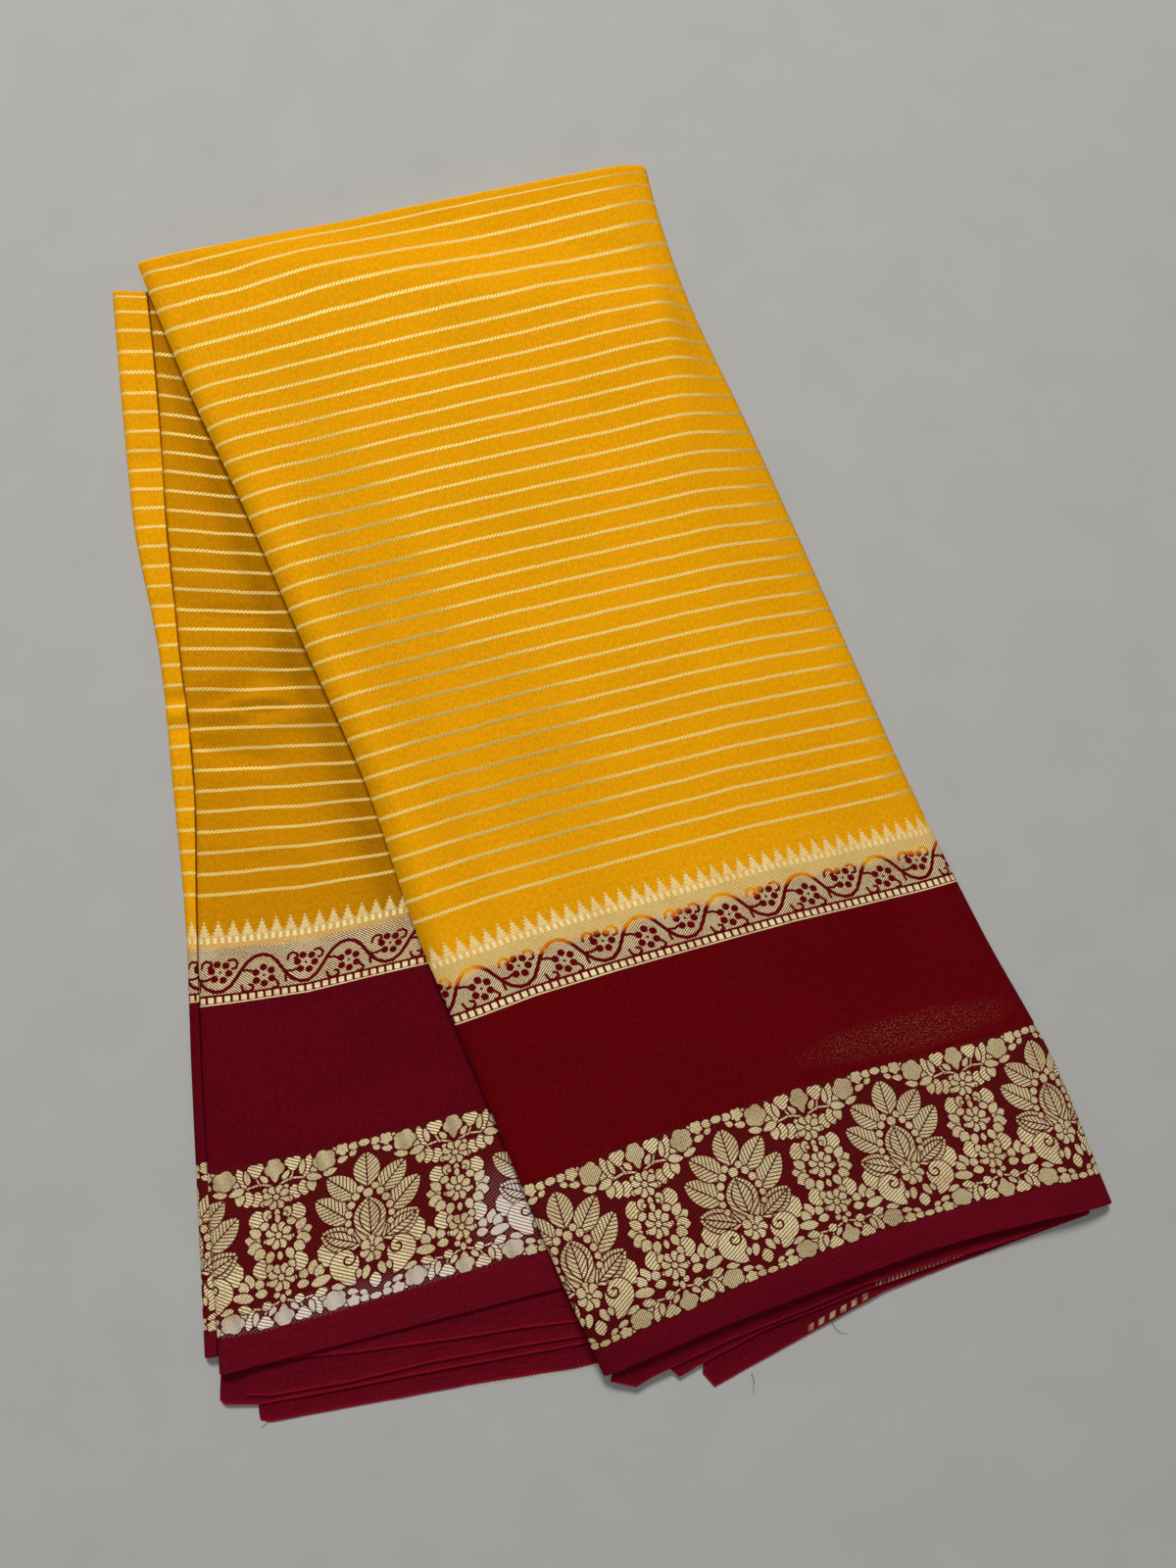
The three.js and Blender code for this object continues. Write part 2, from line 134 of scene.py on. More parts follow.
# How far the bands bend towards the hem: places from the left edge, and the bends there at shares along
UPPER_BENDS = (
    (0, 12, 40, 80, 130, 170, 200, 240, 265),
    (
        (0, (0, 1.5, 0.5, -5, -8.5, -10, -11.5, -15, -19)),
        (0.16, (3, 1.6, 0, -0.5, -1.5, -2.5, -3.5, -4.5, -5)),
        (0.3, (2.4, 1.4, 0, 0, 0, 0, 0, 0, 0)),
        (0.45, (1.5, 1, 0, 0, 0, 0, 0.5, 1, 1.5)),
        (0.7, (4.2, 3.4, 1, 0, 0, 0.2, 1.5, 3, 3.2)),
        (0.838, (1.5, 1, -2, -4, -5, -4, -1.5, 0, 0.5)),
        (0.971, (-0.5, -1, -1.4, -4.6, -6, -5, -4, -3.5, -3)),
        (1, (0, 0, 0, 0, 0, 0, 0, 0, 0)),
    ),
)
LOWER_BENDS = (
    (0, 20, 50, 75, 100, 130, 262),
    (
        (0, (0, 0, 0, 0, 0, 0, 0)),
        (0.5, (0, 0, 0, 0, 0, 0, 0)),
        (0.653, (-2, 0, 1.6, 0.6, -1, -1.5, -1.5)),
        (0.7, (-0.6, 0.8, 2.2, 1, 0, -0.5, -0.5)),
        (0.838, (-0.5, -0.3, -0.2, -0.7, -1.8, -2.6, -3)),
        (0.971, (-4.6, -3, -3.4, -4.8, -6.2, -7, -7)),
        (1, (0, 0, 0, 0, 0, 0, 0)),
    ),
)

# Rounded sides: reach, share of the thickness where the cloth ends, foot angle
UPPER_SIDES = {"left": (14, 0.4, 60), "right": (33, 0, 70), "top": (8, 0, 65)}
LOWER_SIDES = {"left": (3, 0.5, 60), "right": (10, 0, 65), "top": (7, 0, 65)}
SIDE_FOLD_SIDES = {"left": (3.8, 0, 65), "right": (0.5, 0, 80), "top": (5, 0, 65)}

# Soft folds: place as shares across and along, half sizes, height, turn in degrees
UPPER_CREASES = [
    (0.17, 0.45, 16, 190, -1.1, 0),
    (0.5, 0.3, 60, 120, 0.9, 12),
    (0.3, 0.72, 20, 90, 0.7, -8),
    (0.62, 0.9, 70, 22, -0.9, 0),
]
SIDE_FOLD_CREASES = [
    (0.5, 0.421, 30, 4, -2.2, 0),
    (0.5, 0.448, 30, 4.5, -2, 0),
    (0.5, 0.436, 30, 4, 0.8, 0),
    (0.5, 0.2, 30, 12, -0.8, 0),
]

# Waves: from place across and along, to place across and along, bow of the line, half width, height
UPPER_WAVES = [
    (40, 90, 62, 330, 0, 22, -1.3), (95, 120, 110, 330, 0, 30, 0.7), (150, 40, 190, 250, -8, 30, -0.7),
    (14, 12, 60, 30, 2, 6, -0.6), (20, 30, 40, 60, 1, 7, 0.5), (215, 90, 226, 330, 3, 14, 0.6),
    (30, 420, 120, 470, -4, 20, 0.6), (140, 430, 240, 470, 4, 18, -0.7), (10, 440, 30, 560, 0, 14, -0.7),
    (60, 555, 190, 566, 3, 7, -0.5), (24, 60, 32, 200, 2, 6, 0.35), (120, 250, 200, 300, 5, 16, 0.5),
]
LOWER_WAVES = [
    (-4, 235, 62, 200, 2, 8, -3.2), (-2, 241.5, 68, 233, 2, 4, 1.3), (0, 247, 40, 258, 2, 6, -2.0),
    (2, 178.5, 52, 175, 2, 9, -2.0), (20, 120, 40, 180, 2, 7, -1.0), (14, 55, 34, 130, 0, 8, -1.4),
    (36, 262, 90, 320, 3, 12, -1.5), (0, 296, 46, 300, 2, 3.2, 0.7), (14, 380, 90, 372, 3, 10, -0.4),
    (30, 430, 120, 424, -3, 9, -0.5), (4, 452, 9, 520, 0, 3, 0.5), (17, 458, 20, 522, 0, 3, 0.4),
]
SIDE_FOLD_WAVES = [
    (-3, 38, 18, 34, 0, 6, -1.0), (-3, 66, 18, 62, 0, 8, 0.6), (-3, 96, 18, 92, 0, 6, -0.9),
    (-3, 140, 18, 132, 0, 9, 0.7), (-3, 172, 18, 168, 0, 5, -1.1), (-3, 196, 18, 190, 0, 7, 0.5),
    (-3, 270, 18, 262, 0, 7, -0.8), (-3, 318, 18, 322, 0, 12, 0.5), (-3, 372, 18, 372, 0, 8, -0.6),
]

# Straight lines in plan that the upper stack's fall follows: value at a start, slope, the start
LOWER_RIGHT_RIM = (26.5, -0.128, 216)
LOWER_TOP_RIM = (234.5, -0.07, -235)
LOWER_HEM_RIM = (-294, 0.217, -171.5)
UPPER_RIGHT_EDGE = (21, -0.415, 311)
REST_HEIGHT = 10.2  # of the upper stack on the lower one
RIM_FLAT = 2  # it stays flat this far past a rim
RIGHT_FALL = (12, 95)  # least and greatest length of the fall past the right rim
EDGE_LEFT_FLAT = 8  # the upper stack's outer edge lies flat over this width
TOP_FALL = 45  # length of the fall past the doubled edge
HEM_FALL = 60  # and past the hem

# Hem layers: height of the underside, and place from the left, x and y for each corner of the edge
LOWER_HEMS = {
    "lower_hem_1": (5.7, [
        (26, -146, -289), (54, -118, -287.5), (81, -92, -285), (103, -70, -283), (136, -38, -279),
        (169, -6, -276.5), (206, 30, -268)]),
    "lower_hem_2": (3.8, [
        (12, -159.5, -304), (22.5, -149, -304.5), (57, -115, -300), (97, -76, -292.5), (130, -44, -288),
        (164, -11, -284), (206, 30, -275)]),
    "lower_hem_3": (1.9, [
        (1, -171.6, -303), (2, -171.4, -306.4), (4, -169, -308.2), (18, -154, -308.6),
        (57, -115, -303), (97, -76, -297), (164, -11, -288), (206, 30, -278)]),
    "lower_hem_4": (0, [
        (16, -154.6, -312), (18, -153.8, -315.6), (22, -149.5, -316.6), (41, -131, -314),
        (71, -102, -310), (110, -63, -304.5), (164, -11, -298.5), (206, 30, -291)]),
}
UPPER_HEMS = {
    "upper_hem_1": (4, [
        (10, 3, -303.5), (22, 15, -306.5), (31, 23, -302), (69, 60, -286.5), (136, 125, -264),
        (204, 190, -249), (256, 240, -235)]),
    "upper_hem_2": (2, [
        (39, 31, -299.5), (44, 35.5, -303.5), (52, 44, -299), (85, 75, -284), (136, 125, -267.5),
        (204, 190, -250), (256, 240, -236)]),
    "upper_hem_3": (0, [
        (55, 47, -303), (61, 52.5, -309), (100, 90, -291), (121, 110, -281), (147, 135, -269),
        (204, 190, -252), (256, 240, -236.5)]),
}
HEM_WALL = 1.5
HEM_STEP = 1.6  # grid along the edge
HEM_ROWS = 15  # from the start to the edge
HEM_EDGE_WALL = 0.42  # share of the wall that is left at the edge

# Loose threads on the hems: the points that each follows
LOOSE_THREADS = [
    [(109, -279, 0.6), (111, -282.5, 0.9), (113.5, -284.6, 0.5), (117, -285.2, 0.3)],
    [(70, -301, 0.6), (71.2, -305, 0.9), (70.4, -308.4, 0.5), (71.8, -310.4, 0.3)],
    [(-150, -313.4, 0.6), (-152.6, -315.6, 0.6), (-154, -316.4, 0.3)],
]

# Zones are ellipses on the cloth: place across, place along and half sizes
UPPER_LOOK = {
    "rests_on": ["upper_hidden_layers"],
    "seen": None,  # the figures are fine up to this place across
    "vine": (18.0, 41.2),  # phase and length of a wave
    "lotus": (8.5, -0.09),  # phase and lean
    "dyes": (19.5, 6.0, 0.8),  # where the dyes meet over the vine band's lower line, how softly, twill's lean
    "colours": ("field", "border"),
    "lotus_lean": -0.8,
    "specks": (200, 478, 62, 11),
    "pale": (),
    # Painted shade: zones where the stripes are painted olive
    "painted_stripe_shade": [(46, 220, 30, 150), (78, 300, 40, 70), (262, 200, 22, 260)],
    # Painted shade over the rounded left edge and the valley beside it
    "shade": [([(-3, 300, 13, 400)], 0.2), ([(30, 250, 16, 150)], 0.06)],
    "painted_edge_shade": False,
}
LOWER_LOOK = {
    "rests_on": ["lower_hidden_layers"],
    "seen": 172,
    "vine": (30.0, 39.4),
    "lotus": (-10.8, 0.0),
    "dyes": (24.6, 1.6, -0.75),
    # The lower stack's field colour is the field's yellow painted darker, a painted shade
    "colours": ("field_under", "border_under"),
    "lotus_lean": 0.8,
    "specks": None,
    # Painted highlight: zones where the lotus band's gold is painted white
    "pale": [(55, 515, 80, 11), (134, 494, 20, 24)],
    # Painted shade: zones where the stripes are painted olive
    "painted_stripe_shade": [(60, 120, 14, 90), (70, 220, 20, 40), (20, 60, 20, 20)],
    # Painted shade in the fold troughs
    "shade": [([(14, 236, 20, 5), (34, 229, 18, 5)], 0.34), ([(30, 179, 26, 5), (52, 212, 14, 8)], 0.2)],
    # Painted shade on this field beside the upper stack's edge
    "painted_edge_shade": True,
}
SIDE_FOLD_LOOK = {"vine": (30.0, 41.0), "lotus": (-5.0, 0.0), "dyes": (24.0, 3.0, -0.75)}

# Gold weft ends on two hems' reverse: start and end across, pitch, inner and outer row
REVERSE_DASHES = (142, 188, 2.2, -3.8, -0.4)
REVERSE_SQUARES = (109, 139, 5.6, -4.4, -1.2)

# The stage, in metres
TABLE_HALF = 40.0
TABLE_DROP = 0.0002
SKY_COLOUR = (0.93, 0.97, 1.0, 1.0)
LIGHTS_AIM = (-0.05, 0.0, 0.0)
LIGHTS = {  # place, width, share of the key light's power, colour
    "key_light": ((-0.5, 1.9, 2.6), 0.8, 1.0, (1.0, 0.985, 0.96)),
    "overhead_light": ((-0.2, -0.3, 1.3), 0.9, 0.035, (1.0, 0.99, 0.97)),
}
CAMERA_PLAN = (-70.5, -123.5)  # millimetres in the plan of the tables
CAMERA_BACK = (-0.1119, 0.1691, 1.0)  # direction from the table to the camera's back


def smooth(value):
    """0 below 0, 1 above 1, and 3t^2 - 2t^3 between."""
    t = np.clip(value, 0, 1)
    return t * t * (3 - 2 * t)


def mix(a, b, share):
    """From a at share 0 to b at share 1."""
    return a + (b - a) * share


def rim(line, place):
    """A straight line's value at a place: its value at the start plus the slope times the way from there."""
    value, slope, start = line
    return value + slope * (place - start)


def upper_rest(x, y):
    """Height under the upper stack: flat on the lower one, then sinking smoothly past its rims."""
    right = rim(LOWER_RIGHT_RIM, y)
    fall = np.clip(rim(UPPER_RIGHT_EDGE, y) - right - EDGE_LEFT_FLAT, *RIGHT_FALL)
    past_right = smooth((x - right - RIM_FLAT) / fall)
    past_top = smooth((y - rim(LOWER_TOP_RIM, x) - RIM_FLAT) / TOP_FALL)
    past_hem = smooth((rim(LOWER_HEM_RIM, x) - y - RIM_FLAT) / HEM_FALL)
    return REST_HEIGHT * ((1 - past_right) * (1 - past_top)) * (1 - past_hem)


def ground(x, y):
    """Height under a stack that lies on the table."""
    return np.zeros(np.broadcast(x, y).shape)


class Rounding:
    """A rounded side of a stack, from its foot up to its crown, in steps of equal length."""

    def __init__(self, side, height, step):
        self.reach, self.foot, angle = side
        self.start = math.radians(angle)
        turn = np.linspace(self.start, math.pi, 240)
        gone = np.hypot(np.diff(self.inset(turn, 0)), np.diff(self.rise(turn)) * height)
        length = np.concatenate([[0], np.cumsum(gone)])
        self.arc = np.linspace(0, length[-1], max(4, round(length[-1] / step)) + 1)
        self.turn = np.interp(self.arc, length, turn)

    def inset(self, turn, depth):
        """Distance in from the edge line: a circle's quarter and the part tucked under it."""
        return depth + max(LEAST_REACH, self.reach - depth) * (1 - np.sin(turn))

    def rise(self, turn):
        """Share of the height: a cosine from the foot to the crown."""
        share = (math.cos(self.start) - np.cos(turn)) / (math.cos(self.start) + 1)
        return mix(self.foot, 1, share)


class Stack:
    """One pile of folded cloth: edge lines, rounded sides, soft folds and what carries it."""

    def __init__(self, edges, sides, creases, waves, thickness, size, rest, bows=(0, 0), bends=None):
        self.edges = np.array(edges, dtype=float)
        self.sides = sides
        self.creases = creases
        self.thickness = thickness
        self.width, self.length = size
        self.rest = rest
        self.bows = bows
        self.waves = waves
        self.bends = bends

    def edge_lines(self, along):
        """Left and right edge points: a cubic through the four nearest rows, straight on before the first."""
        last = len(self.edges) - 1
        place = np.asarray(along) * last
        i = np.clip(np.floor(place), 0, last - 1).astype(int)
        t = (np.maximum(place, 0) - i)[..., None]
        before = np.minimum(place, 0)[..., None] * (self.edges[1] - self.edges[0]) / 2
        a, b, c, d = (self.edges[np.clip(i + k, 0, last)] for k in (-1, 0, 1, 2))
        bend = (2 * a - 5 * b + 4 * c - d) * t**2 + (3 * b - a - 3 * c + d) * t**3
        return before + 0.5 * (2 * b + (c - a) * t + bend)

    def span(self, along):
        """Distance between the edge lines."""
        line = self.edge_lines(along)
        return np.hypot(line[..., 2] - line[..., 0], line[..., 3] - line[..., 1])

    def plan(self, place, along):
        """Plan point at a distance from the left edge line, and its share across."""
        along = along + self.bend(place, along) / self.length
        line = self.edge_lines(along)
        across = place / self.span(along)
        arch = 4 * np.clip(across, 0, 1) * (1 - np.clip(across, 0, 1))
        near_start, near_end = smooth(1 - along / 0.12), smooth(1 - (1 - along) / 0.12)
        bow = self.bows[0] * near_start + self.bows[1] * near_end
        x = mix(line[..., 0], line[..., 2], across)
        y = mix(line[..., 1], line[..., 3], across) + bow * arch
        return x, y, across

    def bend(self, place, along):
        """How far a place is moved towards the hem: the bends table, straight between its places."""
        if self.bends is None:
            return 0.0
        knots, rows = self.bends
        shares = [share for share, _ in rows]
        total = 0.0
        for k, (_, values) in enumerate(rows):
            hat = np.interp(along, shares, [1.0 if i == k else 0.0 for i in range(len(rows))])
            total = total + hat * np.interp(place, knots, values)
        return total

    def crease_height(self, across, along):
        """Sum of turned round hills, each its height times exp(-p^2 - q^2)."""
        height = np.zeros(np.broadcast(across, along).shape)
        for at_across, at_along, half_across, half_along, rise, turn in self.creases:
            c, s = math.cos(math.radians(turn)), math.sin(math.radians(turn))
            u = (across - at_across) * self.width
            v = (along - at_along) * self.length
            p, q = (u * c + v * s) / half_across, (v * c - u * s) / half_along
            height += rise * np.exp(-(p**2) - q**2)
        return height

    def wave_height(self, place, along):
        """Sum of troughs and ridges, each a bell across a bowed line that fades at both ends."""
        height = np.zeros(np.broadcast(place, along).shape)
        v = along * self.length
        for u1, v1, u2, v2, bow, half, rise in self.waves:
            length = math.hypot(u2 - u1, v2 - v1)
            du, dv = (u2 - u1) / length, (v2 - v1) / length
            run = ((place - u1) * du + (v - v1) * dv) / length
            side = (v - v1) * du - (place - u1) * dv - bow * 4 * run * (1 - run)
            fade = smooth(run / 0.3 + 0.5) * smooth((1 - run) / 0.3 + 0.5)
            height += rise * fade * np.exp(-((side / half) ** 2))
        return height


class Weft:
    """The columns of a grid across a stack: both rounded sides and the flat between them."""

    def __init__(self, stack, step, seen=None, coarse=4.0):
        low, high = stack.thickness
        self.left = Rounding(stack.sides["left"], low * 0.75, step)
        self.right = Rounding(stack.sides["right"], high, step if seen is None else coarse)
        start, end = self.left.reach, stack.width - self.right.reach
        self.shares = np.linspace(0, 1, max(2, round((end - start) / step)) + 1)[1:-1]
        if seen is not None:
            fine = np.arange(start + step, seen, step)
            rest = np.linspace(seen, end, max(2, round((end - seen) / coarse)) + 1)[:-1]
            self.shares = (np.concatenate([fine, rest]) - start) / (end - start)
        left, right = self.left.rise(self.left.turn), self.right.rise(self.right.turn)[::-1]
        self.rise = np.concatenate([left, np.ones(len(self.shares)), right])

    def places(self, width, depth):
        """Distances from the left edge line, and lengths along the cloth, a row for each width."""
        width = np.asarray(width)[:, None]
        ones = np.ones_like(width)
        least = depth + LEAST_REACH
        flat = mix(max(least, self.left.reach), width - max(least, self.right.reach), self.shares[None, :])
        left = ones * self.left.inset(self.left.turn, depth)
        right = width - self.right.inset(self.right.turn, depth)[::-1]
        length_left = ones * (self.left.reach - self.left.arc[-1] + self.left.arc)
        length_right = width - self.right.reach + (self.right.arc[-1] - self.right.arc)[::-1]
        return np.hstack([left, flat, right]), np.hstack([length_left, flat, length_right])


class Warp:
    """The rows of a grid along a stack between two shares, rounded at the doubled edge."""

    def __init__(self, stack, start, end, step, lap_start=False, lap_end=False):
        low = mix(*stack.thickness, 0.5)
        self.stack = stack
        self.top = Rounding(stack.sides["top"], low, step) if start == 0 else None
        first = self.top.reach / stack.length if self.top else start
        count = max(1, round((end - first) * stack.length / step))
        self.flat = np.linspace(first, end, count + 1)
        self.sink = np.zeros(count + 1)
        lap = UNDERLAP / stack.length
        if lap_start:
            self.flat = np.concatenate([[first - lap, first - 0.02 * lap], self.flat[1:]])
            self.sink = np.concatenate([[UNDERLAP_DEPTH, 0], self.sink[1:]])
        if lap_end:
            self.flat = np.concatenate([self.flat[:-1], [end + 0.02 * lap, end + lap]])
            self.sink = np.concatenate([self.sink[:-1], [0, UNDERLAP_DEPTH]])

    def places(self, depth):
        """Shares along, shares of the height, lengths along the cloth, and the sinking under a neighbour."""
        along, sink = self.flat, self.sink
        rise, length = np.ones(len(along)), along * self.stack.length
        if self.top:
            turn, arc = self.top.turn[:-1], self.top.arc
            along = np.concatenate([self.top.inset(turn, depth) / self.stack.length, along])
            rise = np.concatenate([np.maximum(END_RISE, self.top.rise(turn)), rise])
            length = np.concatenate([self.top.reach - arc[-1] + arc[:-1], length])
            sink = np.concatenate([np.zeros(len(turn)), sink])
        return along, rise, length, sink


def placed(x, y, z):
    """Points of the frame, in metres, from a plan point and a height."""
    return np.stack([x + PLAN_SHIFT[0], y + PLAN_SHIFT[1], z], axis=-1) * MM


def cloth_surface(stack, weft, warp, depth):
    """Points at a depth under a stack's outer face, and their lengths across and along the cloth.

    A point's height is the foot's plus the crown's height times both shares of the height. The crown's
    height is the thickness there plus the soft folds, less the depth.
    """
    along, rise, length, sink = warp.places(depth)
    place, across_length = weft.places(stack.span(along), depth)
    along = np.broadcast_to(along[:, None], place.shape)
    x, y, across = stack.plan(place, along)
    folds = stack.crease_height(across, along) + stack.wave_height(place, along)
    full = mix(*stack.thickness, smooth(across))
    crown = full + folds - depth - FOOT_LIFT - sink[:, None]
    foot = stack.rest(x, y) + FOOT_LIFT
    z = foot + crown * weft.rise[None, :] * rise[:, None]
    return placed(x, y, z), across_length, np.broadcast_to(length[:, None], place.shape)


def thinned(count, stride):
    """Every stride-th index below count, and the last one."""
    return np.unique(np.append(np.arange(0, count, stride), count - 1))


def linked(name, data):
    """A new object in the scene with a mesh, a light or a camera."""
    made = bpy.data.objects.new(name, data)
    bpy.context.collection.objects.link(made)
    return made


def closed_shell(name, outer, inner, rows, columns, across, along, layers=None):
    """A closed body between a fine outer grid and an inner grid on some of its rows and columns.

    The rim joins each edge of the inner grid to the outer points beside it by one face.
    """
    row_count, column_count = outer.shape[:2]
    index = np.arange(row_count * column_count).reshape(row_count, column_count)
    under = index.size + np.arange(len(rows) * len(columns)).reshape(len(rows), len(columns))
    top = np.stack([index[:-1, :-1], index[1:, :-1], index[1:, 1:], index[:-1, 1:]], axis=-1)
    low = np.stack([under[:-1, :-1], under[:-1, 1:], under[1:, 1:], under[1:, :-1]], axis=-1)
    faces = top.reshape(-1, 4).tolist() + low.reshape(-1, 4).tolist()
    for k in range(len(rows) - 1):
        side = index[rows[k]:rows[k + 1] + 1]
        faces.append([*side[::-1, 0].tolist(), int(under[k, 0]), int(under[k + 1, 0])])
        faces.append([*side[:, -1].tolist(), int(under[k + 1, -1]), int(under[k, -1])])
    for k in range(len(columns) - 1):
        end = index[:, columns[k]:columns[k + 1] + 1]
        faces.append([*end[0].tolist(), int(under[0, k + 1]), int(under[0, k])])
        faces.append([*end[-1, ::-1].tolist(), int(under[-1, k]), int(under[-1, k + 1])])
    points = np.concatenate([outer.reshape(-1, 3), inner.reshape(-1, 3)])
    mesh = bpy.data.meshes.new(name)
    mesh.from_pydata(points.tolist(), [], faces)
    pick = np.ix_(rows, columns)
    u = np.concatenate([across.ravel(), across[pick].ravel()])
    v = np.concatenate([along.ravel(), along[pick].ravel()])
    corners = np.empty(len(mesh.loops), dtype=np.int32)
    mesh.loops.foreach_get("vertex_index", corners)
    mesh.uv_layers.new(name="cloth").data.foreach_set("uv", np.stack([u, v], axis=-1)[corners].ravel())
    for key, values in (layers or {}).items():
        hidden = np.full(len(rows) * len(columns), FAR if key == "edge" else 0.0)
        data = np.concatenate([values.ravel(), hidden]).astype(np.float32)
        mesh.attributes.new(key, "FLOAT", "POINT").data.foreach_set("value", data)
    mesh.polygons.foreach_set("use_smooth", np.ones(len(mesh.polygons), dtype=bool))
    mesh.set_sharp_from_angle(angle=math.radians(50))
    mesh.update()
    return linked(name, mesh)


def declare(piece, node):
    """The piece rides on the object and stands for its CAD node, which is hidden."""
    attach(piece, "root")
    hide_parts(node)


def outer_cloth(name, stack, warp, weft, stride, finish, node, layers=None):
    """A stretch of a stack's outer cloth as a closed thin shell."""
    outer, across, along = cloth_surface(stack, weft, warp, 0)
    inner = cloth_surface(stack, weft, warp, CLOTH_WALL)[0]
    rows, columns = thinned(outer.shape[0], stride), thinned(outer.shape[1], stride)
    made = layers(across, along) if layers else None
    piece = closed_shell(name, outer, inner[np.ix_(rows, columns)], rows, columns, across, along, made)
    piece.data.materials.append(finish)
    declare(piece, node)
    return piece


# Figures of the borders


class Figures:
    """Gold figures woven over a ground: distance to the gold's edge, places in a figure, thread style."""

    def __init__(self, shape, gold=False):
        self.edge = np.full(shape, -FAR if gold else FAR)
        self.rib = np.zeros(shape)
        self.run = np.zeros(shape)
        self.style = np.zeros(shape)

    def lay(self, distance, gap=0.5, style=0.0, rib=None, run=None):
        """A gold figure on top, inside its distance's zero line, with a gap cut round it."""
        self.edge = np.minimum(np.maximum(self.edge, gap - distance), distance)
        inside = distance < gap * 0.5
        self.style[inside] = style
        if rib is not None:
            self.rib[inside] = rib[inside]
            self.run[inside] = run[inside]

    def lay_leaf(self, x, y, base, tip, width, full, style):
        """A large leaf whose thread follows its middle line; gives the distance to its outline."""
        distance, rib, run = leaf(x, y, base, tip, width, full)
        self.lay(distance, style=style, rib=rib, run=run)
        return distance

    def groove(self, distance, half):
        """A line of the ground's colour cut into the gold, this far to either side of the zero line."""
        self.edge = np.maximum(self.edge, half - np.abs(distance))

    def cut(self, distance):
        """A figure of the ground's colour cut out of the gold."""
        self.edge = np.maximum(self.edge, -distance)

    def layers(self):
        """The arrays by the names that the finish reads."""
        return {"edge": self.edge, "rib": self.rib, "run": self.run, "style": self.style}


def disc(x, y, cx, cy, radius):
    """Distance to a circle's line, negative inside."""
    return np.hypot(x - cx, y - cy) - radius


def petalled(x, y, cx, cy, radius, petals, turn=0.0, depth=0.3):
    """Distance to a flower's outline: a circle whose radius swells once for each petal."""
    angle = np.arctan2(y - cy, x - cx)
    swell = 1 - depth * (1 - np.abs(np.cos(petals / 2 * (angle - turn))) ** 0.7)
    return (np.hypot(x - cx, y - cy) - radius * swell) * 0.9


def leaf(x, y, base, tip, width, full=0.42):
    """Distance to a pointed leaf, place sideways and place along it.

    The half width grows as a root from the base, is full at its share, and falls to the tip.
    """
    length = math.hypot(tip[0] - base[0], tip[1] - base[1])
    dx, dy = (tip[0] - base[0]) / length, (tip[1] - base[1]) / length
    run = (x - base[0]) * dx + (y - base[1]) * dy
    share = np.clip(run / length, 0, 1)
    side = (x - base[0]) * dy - (y - base[1]) * dx
    power = full / (1 - full)
    form = share**power * (1 - share) / (full**power * (1 - full))
    half = width / 2 * form**0.8
    beyond = np.maximum(np.maximum(-run, run - length), 0)
    inside = (np.abs(side) - half) * 0.85
    return np.where(beyond > 0, np.hypot(side, beyond), inside), side, run


def stem(x, y, points, half):
    """Distance to a line through points, this far to either side."""
    nearest = np.full(np.broadcast(x, y).shape, 99.0)
    for (ax, ay), (bx, by) in zip(points[:-1], points[1:]):
        px, py, qx, qy = x - ax, y - ay, bx - ax, by - ay
        share = np.clip((px * qx + py * qy) / (qx * qx + qy * qy), 0, 1)
        nearest = np.minimum(nearest, np.hypot(px - qx * share, py - qy * share))
    return nearest - half


def arc_points(cx, cy, radius, start, end, count, shrink=1.0):
    """Points of a spiral from one angle to another in degrees; the radius ends at shrink times its start."""
    turns = [math.radians(mix(start, end, i / count)) for i in range(count + 1)]
    radii = [radius * mix(1, shrink, i / count) for i in range(count + 1)]
    return [(cx + r * math.cos(a), cy + r * math.sin(a)) for r, a in zip(radii, turns)]


def petal_ring(gold, x, y, cx, cy, near, far, petals, width, turn):
    """Petals side by side round a middle, each a blunt leaf from near to far, and a dot in the middle."""
    for k in range(petals):
        angle = turn + k * 2 * math.pi / petals
        c, s = math.cos(angle), math.sin(angle)
        base, tip = (cx + near * c, cy + near * s), (cx + far * c, cy + far * s)
        gold.lay(leaf(x, y, base, tip, width, 0.6)[0], 0.6)
    gold.lay(disc(x, y, cx, cy, near * 0.9), gap=0.5)


# Leaves: base across and row, tip across and row, width, thread style. Beads: across, row, radius.
# One side of the lotus
LOTUS_LEAVES = [
    (9.0, 39.2, 23.8, 26.0, 11.4, 1), (5.2, 29.0, 18.0, 16.2, 11.2, 1),
]
LOTUS_BEADS = [
    (3.4, 25.6, 1.7), (5.6, 28.9, 1.8), (7.9, 32.4, 1.8),
    (9.4, 36.4, 1.7), (9.9, 40.2, 1.5), (9.2, 43.8, 1.4),
]

